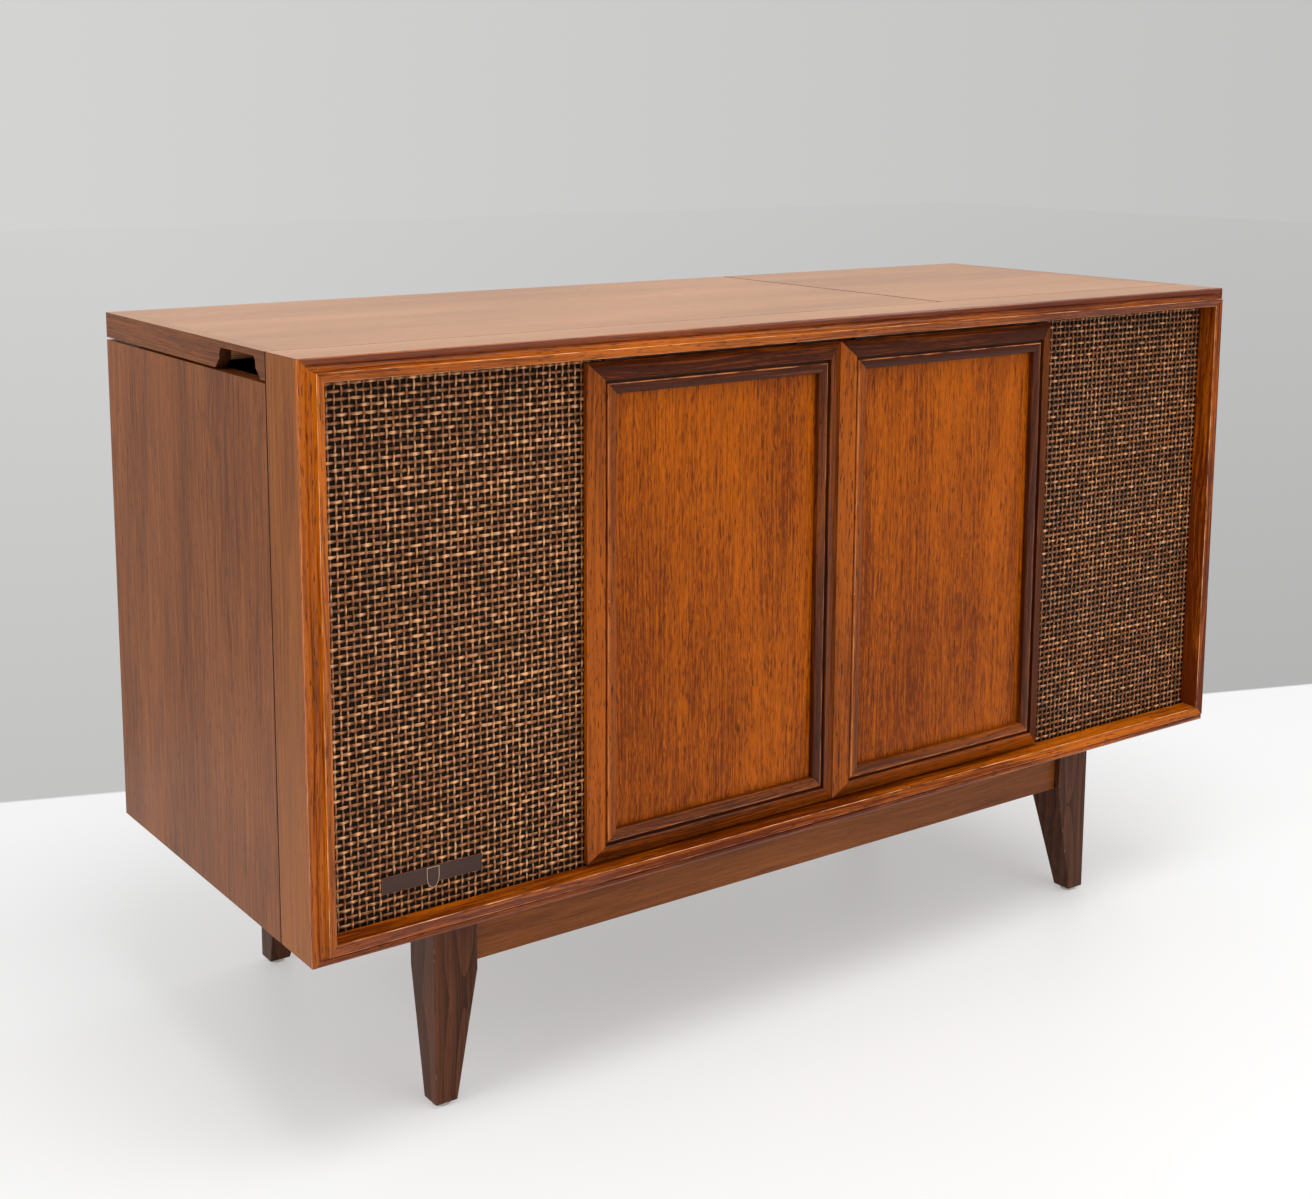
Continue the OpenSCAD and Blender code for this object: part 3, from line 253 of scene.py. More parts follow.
soft_box("overhead", (-0.3, -1.3, 3.9), (0, 0, 0.4), (2.0, 1.4), 54)
soft_box("front", (0.6, -3.6, 1.5), (0, 0, 0.4), (2.4, 1.8), 20)
soft_box("side", (-3.2, -0.3, 1.9), (-0.3, 0, 0.45), (1.2, 1.2), 20)
soft_box("strip", (2.4, -0.8, 3.6), (1.2, -0.2, 0.6), (5.0, 0.5), 36)


# The cabinet is walnut veneer on board: two sides, four front boards behind the moulding,
# a bottom and the boards inside. Their edges are eased with sandpaper, then stained and
# lacquered. The sides are glued to the front boards with a groove between them, painted
# dark for its shadow and the dirt in it.
WANDER = (2.4, 12.0, 12.0)
WANDER_REACH = 0.030
PATCH = (2.2, 14.0, 14.0)
PORE = (70.0, 900.0, 900.0)
PORE_EDGE = (0.60, 0.67)
PORE_STAIN = (0.35, 0.3, 0.3)
PORE_DEEP = 0.0004
STRAND_RUN = 7.0
RING_ARCH = 0.22
CURL = (45.0, 80.0, 80.0)
CURL_REACH = 0.009
RIBBON = (52.0, 640.0, 640.0)
RUB_AND_LIGHT_NOISE = (40.0, 160.0, 160.0)
RUBBED_AND_LIT = (0.33, 0.60)
CHIP = (150.0, 420.0, 420.0)
BARE_WOOD = (0.62, 0.42, 0.26)
GRAIN_STARTS = ((0, 9), (-0.01, 0.01), (0.03, 0.06))
MERGE = 0.00001
FLAT_ANGLE = math.radians(0.5)
ARRIS_ANGLE = math.radians(25)
ARRIS_TILT = 0.29
SEAM_REACH = 0.0021
SEAM_TURN = 0.05
TOP_REACH = 0.01
UPWARD = 0.5


def piece_data(tree, name, output="Fac"):
    """What the mesh carries at each point, such as its wear with painted light, or its grain rows.
    """
    return put(tree, "ShaderNodeAttribute", attribute_name=name).outputs[output]


def grain_rows(tree, axis):
    """Points with the grain along X, from an axis of the console or the piece's own rows."""
    if not axis:
        return piece_data(tree, "grain", "Vector")
    parts = put(tree, "ShaderNodeSeparateXYZ", {0: own_place(tree)}).outputs
    order = {"X": "XYZ", "Y": "YXZ", "Z": "ZXY"}[axis]
    return put(tree, "ShaderNodeCombineXYZ", {
        to: parts[at] for to, at in zip("XYZ", order)}).outputs[0]


def strayed(tree, points, place, scale, reach):
    """Points moved to and fro by noise that is read at place."""
    shift = vector_maths(tree, "SUBTRACT", noise(tree, place, scale)["Color"], (0.5, 0.5, 0.5))
    shift = put(tree, "ShaderNodeVectorMath", {0: shift, "Scale": reach}, operation="SCALE")
    return vector_maths(tree, "ADD", points, shift.outputs["Vector"])


def growth_rings(tree, points, rings, slope):
    """Rings cut at a slight angle to the trunk, so that they close in long arches."""
    parts = put(tree, "ShaderNodeSeparateXYZ", {0: points}).outputs
    sway = maths(tree, "PINGPONG", parts["X"], RING_ARCH)
    trunk = put(tree, "ShaderNodeCombineXYZ", {
        "Y": parts["Y"], "Z": multiply_add(tree, sway, -slope, parts["Z"])})
    return put(tree, "ShaderNodeTexWave", {
        "Vector": trunk.outputs[0], "Scale": rings, "Distortion": 1.6, "Detail": 2.0,
        "Detail Scale": 1.5}, wave_type="RINGS", rings_direction="X",
        wave_profile="SAW").outputs["Fac"]


def wood(name, dark, light, axis=None, fibre=1.5, mottle=1.2, figure=0.0, rings=26.0, slope=0.12,
         ribbon=0.0, fleck=0.3, spread=1.0, rough=0.36, gloss=0.3, coat=0.0, coat_rough=0.18,
         worn=None, stain_and_painted_shade=None, chips=None, bump=0.25, fine=420.0):
    """Lacquered wood with its grain along one axis, or along the piece's own grain rows."""
    material, tree = new_material(name)
    place = grain_rows(tree, axis)
    # The fibres wander a few millimetres to and fro along the board
    bent = strayed(tree, place, place, WANDER, WANDER_REACH * spread)
    strand = noise(tree, bent, (STRAND_RUN, fine, fine), 3.0)["Fac"]
    pore = band(tree, noise(tree, bent, PORE, 1.0)["Fac"], *PORE_EDGE)
    tone = multiply_add(tree, strand, fibre, 0.5 - 0.5 * (fibre + mottle + figure + ribbon))
    tone = multiply_add(tree, noise(tree, place, PATCH)["Fac"], mottle, tone)
    if figure:
        tone = multiply_add(tree, growth_rings(tree, bent, rings, slope), figure, tone)
    if ribbon:
        # Interlocked ribbons: short wavy streaks, bright where the fibres lean to the light
        curl = strayed(tree, bent, place, CURL, CURL_REACH)
        tone = multiply_add(tree, noise(tree, curl, RIBBON, 2.5)["Fac"], ribbon, tone)
    tone = maths(tree, "ADD", tone, piece_data(tree, "tone_and_shade"), clamp=True)
    colour = mix_colour(tree, tone, dark, light)
    stain = tuple(part * share for part, share in zip(dark, PORE_STAIN))
    colour = mix_colour(tree, maths(tree, "MULTIPLY", pore, fleck), colour, stain)

    # Where the wear value falls below zero the soaked colour darkens the wood: stain, and painted
    # shade in hollows and grooves. On eased edges the worn colour shows: wear, and also painted
    # highlights on the mouldings and painted shade at the lids' seams.
    wear_and_light = piece_data(tree, "wear_and_light")
    if stain_and_painted_shade:
        colour = mix_colour(tree, band(tree, wear_and_light, 0.0, -1.0), colour, stain_and_painted_shade)
    if worn:
        rubbed_and_lit = maths(tree, "MULTIPLY", wear_and_light, noise(tree, place, RUB_AND_LIGHT_NOISE, 3.0)["Fac"])
        colour = mix_colour(tree, band(tree, rubbed_and_lit, *RUBBED_AND_LIT), colour, worn)
    if chips:
        chip = noise(tree, place, CHIP, 1.0)["Fac"]
        chip = maths(tree, "MULTIPLY", chip, band(tree, wear_and_light, 0.5, 0.9))
        colour = mix_colour(tree, band(tree, chip, chips, chips + 0.03), colour, BARE_WOOD)
    relief = put(tree, "ShaderNodeBump", {
        "Height": multiply_add(tree, pore, -0.8, strand), "Strength": bump,
        "Distance": PORE_DEEP})
    shader = put(tree, "ShaderNodeBsdfPrincipled", {
        "Base Color": colour, "Roughness": band(tree, strand, 0.2, 0.8, rough - 0.06, rough + 0.08),
        "Normal": relief.outputs["Normal"], "Specular IOR Level": gloss, "IOR": 1.5,
        "Coat Weight": coat, "Coat Roughness": coat_rough})
    finish_surface(tree, shader.outputs["BSDF"])
    return material


def loose_pieces(bm):
    """The separate pieces of wood in one mesh, as lists of vertices."""
    left = set(bm.verts)
    for start in bm.verts:
        if start not in left:
            continue
        left.remove(start)
        found, edge = [start], [start]
        while edge:
            for link in edge.pop().link_edges:
                for v in link.verts:
                    if v in left:
                        left.remove(v)
                        found.append(v)
                        edge.append(v)
        yield found


def lay_grain(bm, axis, seed):
    """Writes each loose piece's own grain rows: along the grain first, then across it."""
    dice = random.Random(seed)
    rows = bm.verts.layers.float_vector.new("grain")
    for piece in loose_pieces(bm):
        low = [min(v.co[i] for v in piece) for i in range(3)]
        high = [max(v.co[i] for v in piece) for i in range(3)]
        size = [high[i] - low[i] for i in range(3)]
        along = "XYZ".index(axis) if axis else size.index(max(size))
        across = [i for i in range(3) if i != along]
        start = Vector([dice.uniform(*limits) for limits in GRAIN_STARTS])
        for v in piece:
            off = [v.co[i] - (low[i] + high[i]) / 2 for i in across]
            v[rows] = start + Vector((v.co[along], *off))


def show(name, mesh, material, body, slot, *replaced):
    """Links a finished mesh as a piece that rides on a body and stands for CAD nodes."""
    piece = bpy.data.objects.new(name, mesh)
    bpy.context.collection.objects.link(piece)
    piece.data.materials.append(material)
    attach(piece, body)
    if replaced:
        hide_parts(*replaced)
    return piece


def smooth(mesh, angle=32):
    for face in mesh.polygons:
        face.use_smooth = True
    mesh.set_sharp_from_angle(angle=math.radians(angle))


def worked(node, name, material, body, slot, ease=0.0008, axis=None, seed=1, tone_and_shade=0.0):
    """The node's own solid with its edges eased, its grain laid and its edges marked for wear and
    painted light.
    """
    bm = bmesh.new()
    bm.from_mesh(nodes[node].data)
    bmesh.ops.remove_doubles(bm, verts=bm.verts, dist=MERGE)
    bmesh.ops.dissolve_limit(bm, angle_limit=FLAT_ANGLE, verts=bm.verts, edges=bm.edges)
    lay_grain(bm, axis, seed)
    sharp = [e for e in bm.edges if e.is_manifold and e.calc_face_angle(0) > ARRIS_ANGLE]
    bmesh.ops.bevel(bm, geom=sharp, offset=ease, segments=2, profile=0.6, affect="EDGES",
                    clamp_overlap=True)
    bm.normal_update()
    wear_and_light = bm.verts.layers.float.new("wear_and_light")
    tones_and_shading = bm.verts.layers.float.new("tone_and_shade")
    for v in bm.verts:
        v[wear_and_light] = min(1.0, (1 - max(abs(c) for c in v.normal)) / ARRIS_TILT)
        v[tones_and_shading] = tone_and_shade
    mesh = bpy.data.meshes.new(name)
    bm.to_mesh(mesh)
    bm.free()
    smooth(mesh, angle=40)
    piece = show(name, mesh, material, body, slot, node)
    flat = piece.modifiers.new("flat_faces", "WEIGHTED_NORMAL")
    flat.keep_sharp = True
    return piece


def refinish(piece, material, wanted):
    """Gives another finish to the faces that wanted picks."""
    piece.data.materials.append(material)
    for face in piece.data.polygons:
        if wanted(face):
            face.material_index = len(piece.data.materials) - 1


side_wood = wood("walnut_side", (0.13, 0.033, 0.006), (0.33, 0.104, 0.026),
                 worn=(0.36, 0.15, 0.06), fibre=2.2, mottle=1.3, fleck=0.5, gloss=0.12)
front_wood = wood("walnut_front", (0.17, 0.045, 0.006), (0.39, 0.124, 0.022),
                  worn=(0.44, 0.19, 0.08), fibre=1.7, mottle=1.1, gloss=0.12)
# The top finish is paler than the walnut itself: painted sheen and light from above. Its worn
# colour is dark, painted shade at the seams.
top_wood_painted_light = wood("walnut_top_painted_light", (0.38, 0.170, 0.075), (0.62, 0.310, 0.155), fibre=1.4, mottle=1.3,
                rough=0.36, gloss=0.65, worn=(0.13, 0.045, 0.02), fleck=0.3)
inner_wood = wood("walnut_inner", (0.13, 0.065, 0.030), (0.28, 0.150, 0.080), figure=0.25,
                  rough=0.5, worn=(0.32, 0.19, 0.10))
# Near black walnut: painted shade in seams and grooves, with some dirt.
seam_painted_shade_wood = wood("seam_walnut_painted_shade", (0.030, 0.010, 0.004), (0.060, 0.022, 0.009), gloss=0.1)
for side, seed in (("left", 2), ("right", 3)):
    board = worked(side + "_side", "side_" + side, side_wood, "cabinet", "walnut_side", axis="Z",
                   seed=seed)
    seam_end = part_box(side + "_side")[0][1] + SEAM_REACH
    # The groove's face at the front edge is painted dark for its shadow and dirt.
    refinish(board, seam_painted_shade_wood,
             lambda face: face.normal.y < -SEAM_TURN and face.center.y < seam_end)
fronts = worked("front_boards", "front_board_set", front_wood, "cabinet", "walnut_side",
                ease=0.0006, seed=4)
# The front boards' top faces take the paler top finish: painted light from above.
top_start = cad_box[1][2] - TOP_REACH
refinish(fronts, top_wood_painted_light, lambda face: face.normal.z > UPWARD and face.center.z > top_start)
worked("bottom_panel", "bottom_board", inner_wood, "cabinet", "inner_wood", seed=5)
worked("inner_boards", "inner_board_set", inner_wood, "cabinet", "inner_wood", seed=6)
worked("top_rails", "rail_set", inner_wood, "cabinet", "inner_wood", seed=7)
worked("deck", "deck_board", inner_wood, "cabinet", "inner_wood", axis="X", seed=8)


# The back is a sheet of oil-tempered hardboard with rows of punched air slots. Its smooth
# face shows, brown and faintly mottled, and it is held by domed steel screws on washers.
CLOUD = (9.0, 9.0, 9.0)
GRIT_DEEP = 0.0003


def plain(name, colour, second, scale=60.0, stretch=(1, 1, 1), rough=0.4, spread=0.1, metal=0.0,
          bump=0.1, coat=0.0, gloss=0.5):
    """Paint, metal, plastic, rubber or card: two close colours and uneven gloss."""
    material, tree = new_material(name)
    place = own_place(tree)
    grit = noise(tree, place, tuple(scale * s for s in stretch), 3.0)["Fac"]
    cloud = noise(tree, place, CLOUD)["Fac"]
    both = multiply_add(tree, grit, 1.6, multiply_add(tree, cloud, 1.2, -0.9))
    relief = put(tree, "ShaderNodeBump", {
        "Height": grit, "Strength": bump, "Distance": GRIT_DEEP})
    shader = put(tree, "ShaderNodeBsdfPrincipled", {
        "Base Color": mix_colour(tree, band(tree, both, 0, 1), colour, second),
        "Roughness": band(tree, both, 0, 1, rough - spread / 2, rough + spread / 2),
        "Metallic": metal, "Normal": relief.outputs["Normal"], "Coat Weight": coat,
        "Specular IOR Level": gloss})
    finish_surface(tree, shader.outputs["BSDF"])
    return material


def dress(material, *names):
    """Gives CAD nodes that keep their shape a finished material."""
    for name in names:
        nodes[name].data.materials.clear()
        nodes[name].data.materials.append(material)


hardboard = plain("hardboard_back", (0.12, 0.062, 0.034), (0.19, 0.105, 0.060), scale=420,
                  rough=0.55, bump=0.35)
zinc = plain("zinc_screw", (0.42, 0.41, 0.38), (0.58, 0.56, 0.52), scale=900, rough=0.34, metal=1.0)
dress(hardboard, "back_panel")
dress(zinc, "back_screws")


# The moulding is a picture frame of four mitred walnut sticks, planed to a bead, a hollow
# and a flat face, glued to the front boards. It carries the glossiest lacquer. Its hollow is
# painted dark for stain and for shade, and the bead's edge and the two arrises are paler,
# rubbed by hands and with painted highlights.
MM = 0.001
GLUE = 0.1 * MM
ARC = 14
BEAD_R = 3.8
BEAD_SIDE = 3.6
BEAD_TURN = math.radians(140)
QUIRK = 0.3
HOLLOW_W = 4.7
MOULD_OUT = 16
MOULD_W = 20.5
FACE_FALL = 2.6
EASE = 0.6
LIP_W = 22.8
BOARD_T = 16
GROOVE_Y = 5
GRILLE_Y = 9
cab_low, cab_high = (Vector(c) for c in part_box("front_boards"))
cab_low.x, cab_high.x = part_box("left_side")[0][0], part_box("right_side")[1][0]
front = cab_low.y
mid_z = (cab_low.z + cab_high.z) / 2


def moulding_profile(lip):
    """Points of depth, distance from the edge and wear with painted light, outer edge first."""
    valley_d = -BEAD_SIDE - BEAD_R * math.sin(BEAD_TURN) - QUIRK
    valley_w = BEAD_R - BEAD_R * math.cos(BEAD_TURN) + QUIRK
    hollow_d = MOULD_OUT - 2 * EASE + valley_d
    arris_w = valley_w + HOLLOW_W
    points = [(0, 0, 0), (0.6 - BEAD_SIDE, 0, 0.2)]
    for i in range(ARC + 1):
        a = BEAD_TURN * i / ARC
        # Pale on the bead's crest for wear and a painted highlight, then dark past it for painted
        # shade
        rub_and_light = 1.0 - 6.0 * i / ARC if i < ARC / 3 else -1.0 + 0.9 * (i / ARC - 0.33)
        points.append((-BEAD_SIDE - BEAD_R * math.sin(a), BEAD_R - BEAD_R * math.cos(a), rub_and_light))
    for i in range(ARC + 1):
        a = math.pi / 2 * i / ARC
        points.append((valley_d - hollow_d * (1 - math.cos(a)), valley_w + HOLLOW_W * math.sin(a),
                       -0.8 if i == 0 else -0.25 * (1 - i / ARC)))
    points += [(-MOULD_OUT + 0.3, arris_w + 0.15, 1.0), (-MOULD_OUT, arris_w + EASE, 0.8),
               (-MOULD_OUT + 0.25, arris_w + 2 * EASE, 0),
               (-MOULD_OUT + FACE_FALL - 0.3, MOULD_W - 2 * EASE, 0),
               (-MOULD_OUT + FACE_FALL, MOULD_W - EASE, 0.8),
               (-MOULD_OUT + FACE_FALL + 0.4, MOULD_W - 0.2, 1.0),
               (-MOULD_OUT + FACE_FALL + 2 * EASE, MOULD_W, 0.2),
               (lip, LIP_W, -0.3), (lip, BOARD_T, 0), (0, BOARD_T, 0)]
    return [(d * MM, w * MM, wear_and_light) for d, w, wear_and_light in points]


def on_edge(edge, centre_x, centre_z):
    """Where a point of a stick on that edge lies: u along it, d in depth, w inwards."""
    if edge in ("bottom", "top"):
        up = 1 if edge == "bottom" else -1
        return lambda u, d, w, at: Vector((centre_x + u, front + d, at + up * w))
    inwards = 1 if edge == "left" else -1
    return lambda u, d, w, at: Vector((at + inwards * w, front + d, centre_z + u))


def add_stick(bm, length, profile, place, at, seed, tone_and_shade=0.0, soak_and_shade=1.0):
    """One stick with mitred ends, with grain rows that run along it."""
    layers = bm.verts.layers
    rows = layers.float_vector.get("grain") or layers.float_vector.new("grain")
    wear_and_light_layer = layers.float.get("wear_and_light") or layers.float.new("wear_and_light")
    tones_and_shading = layers.float.get("tone_and_shade") or layers.float.new("tone_and_shade")
    start = Vector((seed * 1.7, 0.03 * math.sin(seed * 5), 0.05))
    ends = []
    for side in (-1, 1):
        ring = []
        for d, w, wear_and_light in profile:
            u = side * (length / 2 - GLUE - w)
            v = bm.verts.new(place(u, d, w, at))
            v[rows] = start + Vector((u, w, d))
            v[wear_and_light_layer] = wear_and_light * soak_and_shade if wear_and_light < 0 else wear_and_light
            v[tones_and_shading] = tone_and_shade
            ring.append(v)
        ends.append(ring)
    count = len(profile)
    for i in range(count):
        j = (i + 1) % count
        bm.faces.new((ends[0][i], ends[0][j], ends[1][j], ends[1][i]))
    for ring in ends:
        bm.faces.new(ring)


def close_mesh(bm, name, angle=32):
    bmesh.ops.recalc_face_normals(bm, faces=bm.faces)
    mesh = bpy.data.meshes.new(name)
    bm.to_mesh(mesh)
    bm.free()
    smooth(mesh, angle)
    return mesh


# Its worn colour is wear and painted highlight; its soaked colour is stain and painted shade.
moulding_wood = wood("walnut_moulding", (0.12, 0.018, 0.0005), (0.53, 0.122, 0.001), fibre=2.6,
                     mottle=2.2, rough=0.34, gloss=0.08, coat=0.28, coat_rough=0.07,
                     worn=(0.78, 0.36, 0.16), stain_and_painted_shade=(0.110, 0.022, 0.008), fleck=0.8, chips=0.72)
# Each stick: edge, length, place, lip, tone, and how dark its hollow is painted with stain and
# shade, darkest on the top stick.
sticks = (("top", cab_high.x * 2, cab_high.z, GROOVE_Y, -0.05, 1.0),
          ("bottom", cab_high.x * 2, cab_low.z, GROOVE_Y, -0.12, 0.2),
          ("left", cab_high.z - cab_low.z, cab_low.x, GRILLE_Y, 0.10, 0.25),
          ("right", cab_high.z - cab_low.z, cab_high.x, GRILLE_Y, -0.32, 0.6))
for seed, (edge, length, at, lip, tone_and_shade, soak_and_shade) in enumerate(sticks):
    bm = bmesh.new()
    add_stick(bm, length, moulding_profile(lip), on_edge(edge, 0, mid_z), at, seed + 1, tone_and_shade, soak_and_shade)
    show("moulding_" + edge + "_stick", close_mesh(bm, edge), moulding_wood, "cabinet",
         "walnut_moulding", "moulding_" + edge)


# Behind each grille a chipboard baffle, painted black, carries a woofer and a tweeter with
# pressed steel baskets and felted paper cones. Black cloth is stretched over the baffle so
# that nothing pale shows through the weave.
baffle_paint = plain("baffle_paint", (0.012, 0.011, 0.010), (0.022, 0.020, 0.018), scale=260,
                     rough=0.7, bump=0.5, gloss=0.2)
basket_steel = plain("basket_steel", (0.16, 0.15, 0.13), (0.24, 0.23, 0.20), scale=300, rough=0.4,
                     metal=0.8)
cone_paper = plain("cone_paper", (0.035, 0.032, 0.030), (0.07, 0.064, 0.058), scale=700, rough=0.85,
                   bump=0.6, gloss=0.2)
dress(baffle_paint, "speaker_baffles")
dress(basket_steel, "speaker_frames")
dress(cone_paper, "speaker_cones")
CLOTH_CELLS = 24
CLOTH_OFF = 0.2 * MM
CLOTH_SAG = 0.1 * MM


def backing_cloth(low, high):
    """A thin sheet pulled flat in front of the plane that low and high lie in."""
    bm = bmesh.new()
    rows = []
    for j in range(CLOTH_CELLS + 1):
        row = []
        for i in range(CLOTH_CELLS + 1):
            s, t = i / CLOTH_CELLS, j / CLOTH_CELLS
            sag = CLOTH_SAG * math.sin(math.pi * s) * math.sin(math.pi * t)
            row.append(bm.verts.new((low.x + s * (high.x - low.x), high.y - CLOTH_OFF - sag,
                                     low.z + t * (high.z - low.z))))
        rows.append(row)
    for j in range(CLOTH_CELLS):
        for i in range(CLOTH_CELLS):
            bm.faces.new((rows[j][i], rows[j][i + 1], rows[j + 1][i + 1], rows[j + 1][i]))
    return close_mesh(bm, "backing_cloth", angle=60)


black_cloth = plain("black_cloth", (0.012, 0.008, 0.005), (0.026, 0.018, 0.012), scale=1500,
                    rough=0.95, bump=0.6, gloss=0.05)
for side in ("left", "right"):
    low, high = (Vector(c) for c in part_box(side + "_grille"))
    cloth = show(side + "_backing_cloth", backing_cloth(low, high), black_cloth, "cabinet",
                 "baffle_black")


# Each end of the front is closed by a panel of plain weave: flat strands of twisted paper,
# stained tan to dark brown, seven millimetres apart, stapled to the baffle over the cloth.
# The hand of the weaver shows in uneven widths and strands that wander. Each strand is
# painted lighter where it crosses over, a painted highlight, and darker where it passes
# under, a painted shade.
PITCH_X = 7.1 * MM
PITCH_Z = 6.95 * MM
WARP_W = 0.98 * MM
WEFT_W = 1.42 * MM
STRAND_T = 0.62 * MM
WAVE = 0.72 * MM
WEAVE_OUT = 0.2 * MM
SIDES = 6
SWAY_KEPT = 0.82
SWAY = 0.16
UNEVEN = (0.84, 1.10)
SWELL = 0.14
WHOLE_TONE = 0.20
PATCH_TONE = 0.55
BASE_TONE = 0.04
CROWN_PAINTED_LIGHT = 0.22
RUN_STEP = 3.1
WEFT_RUN = 200
TWIST = (160.0, 2600.0, 2600.0)
STAINS = ((0.0, (0.055, 0.020, 0.007, 1)), (0.3, (0.14, 0.052, 0.018, 1)),
          (0.6, (0.36, 0.138, 0.050, 1)), (1.0, (0.88, 0.47, 0.22, 1)))


def add_strand(points, widths, flat, tones_and_shading, mesh_parts, run):
    """A flat strand along points; flat is the direction of its width."""
    verts, faces, shades, runs = mesh_parts
    base = len(verts)
    out = Vector((0, -1, 0))
    for n, (p, w) in enumerate(zip(points, widths)):
        for k in range(SIDES):
            a = 2 * math.pi * k / SIDES
            verts.append(p + flat * (w * math.cos(a)) + out * (STRAND_T * math.sin(a)))
            shades.append(tones_and_shading[n])
            runs.extend((run + n * PITCH_X / 2, math.cos(a) * w, math.sin(a) * STRAND_T))
    for n in range(len(points) - 1):
        for k in range(SIDES):
            m = (k + 1) % SIDES
            a, b = base + n * SIDES, base + (n + 1) * SIDES
            faces.append((a + k, a + m, b + m, b + k))
    last = base + (len(points) - 1) * SIDES
    faces.append([base + k for k in range(SIDES)][::-1])
    faces.append([last + k for k in range(SIDES)])


def weave(low, high, seed, lighter):
    """Plain weave that fills the box from low to high, one mesh for the whole panel."""
    dice = random.Random(seed)
    middle = (low.y + high.y) / 2 - WEAVE_OUT
    across = int((high.x - low.x - 2 * WEFT_W) / PITCH_X)
    rise = int((high.z - low.z - 2 * WEFT_W) / PITCH_Z)
    x0 = (low.x + high.x - across * PITCH_X) / 2
    z0 = (low.z + high.z - rise * PITCH_Z) / 2
    parts = ([], [], [], [])

    def one_strand(index, steps, half_width, first_over, place, flat, run):
        sway = 0.0
        shade = dice.random()
        points, widths, tones_and_shading = [], [], []
        for n in range(steps):
            over = 0 if n % 2 else (1 if (index + n // 2 + first_over) % 2 else -1)
            sway = SWAY_KEPT * sway + dice.uniform(-SWAY, SWAY) * MM
            points.append(place(n, sway, middle - over * WAVE))
            widths.append(half_width * dice.uniform(*UNEVEN) * (1 + SWELL * over))
            # The crown term paints light where a strand crosses over and shade where it passes
            # under.
            tones_and_shading.append(WHOLE_TONE * shade + PATCH_TONE * dice.random() + BASE_TONE
                         + CROWN_PAINTED_LIGHT * over + lighter)
        add_strand(points, widths, flat, tones_and_shading, parts, run)

    for i in range(across + 1):
        x = x0 + i * PITCH_X
        one_strand(i, 2 * rise + 1, WARP_W, 0,
                   lambda n, sway, y: Vector((x + sway, y, z0 + n * PITCH_Z / 2)),
                   Vector((1, 0, 0)), i * RUN_STEP)
    for j in range(rise + 1):
        z = z0 + j * PITCH_Z
        one_strand(j, 2 * across + 1, WEFT_W, 1,
                   lambda n, sway, y: Vector((x0 + n * PITCH_X / 2, y, z + sway)),
                   Vector((0, 0, 1)), WEFT_RUN + j * RUN_STEP)
    verts, faces, shades, runs = parts
    mesh = bpy.data.meshes.new("weave")
    mesh.from_pydata(verts, [], faces)
    mesh.attributes.new("shade", "FLOAT", "POINT").data.foreach_set("value", shades)
    mesh.attributes.new("grain", "FLOAT_VECTOR", "POINT").data.foreach_set("vector", runs)
    for face in mesh.polygons:
        face.use_smooth = True
    return mesh


def paper_strand():
    material, tree = new_material("woven_strand")
    twist = noise(tree, piece_data(tree, "grain", "Vector"), TWIST)["Fac"]
    value = band(tree, multiply_add(tree, twist, 0.7, piece_data(tree, "shade")), 0.30, 1.25)
    ramp = put(tree, "ShaderNodeValToRGB", {"Fac": value})
    stops = ramp.color_ramp.elements
    stops[0].position, stops[0].color = STAINS[0]
    stops[1].position, stops[1].color = STAINS[-1]
    for at, colour in STAINS[1:-1]:
        stops.new(at).color = colour
    relief = put(tree, "ShaderNodeBump", {
        "Height": twist, "Strength": 0.35, "Distance": GRIT_DEEP})
    shader = put(tree, "ShaderNodeBsdfPrincipled", {
        "Base Color": ramp.outputs["Color"], "Roughness": band(tree, twist, 0.3, 0.7, 0.30, 0.42),
        "Normal": relief.outputs["Normal"], "Specular IOR Level": 0.25})
    finish_surface(tree, shader.outputs["BSDF"])
    return material


strand_paper = paper_strand()
for side, seed, lighter in (("left", 11, 0.0), ("right", 12, -0.09)):
    low, high = (Vector(c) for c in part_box(side + "_grille"))
    show(side + "_woven_grille", weave(low, high, seed, lighter), strand_paper, "cabinet",
         "woven_grille", side + "_grille")


# A small plate of dark bronzed brass is pinned over the weave at the lower left, with a
# shield rimmed in copper in its middle. The shield and the plate are left bare.
bronze = plain("bronzed_plate", (0.030, 0.011, 0.007), (0.060, 0.024, 0.015), scale=900, rough=0.40,
               bump=0.15, gloss=0.3)
rim_bronze = plain("bronzed_rim", (0.10, 0.035, 0.022), (0.17, 0.065, 0.040), scale=700, rough=0.3,
                   metal=0.5)
rim_copper = plain("copper_rim", (0.50, 0.32, 0.20), (0.66, 0.46, 0.31), scale=700, rough=0.26,
                   metal=0.8)
PLATE_UP = 5 * MM
RIM = 0.45 * MM
FIELD_IN = 0.35 * MM
SHIELD_W = 13 * MM
SHIELD_UP = 0.8 * MM
SHIELD_STEPS = 8
SHIELD_SHOULDER = 0.45
PLATE_BEHIND = 0.6 * MM


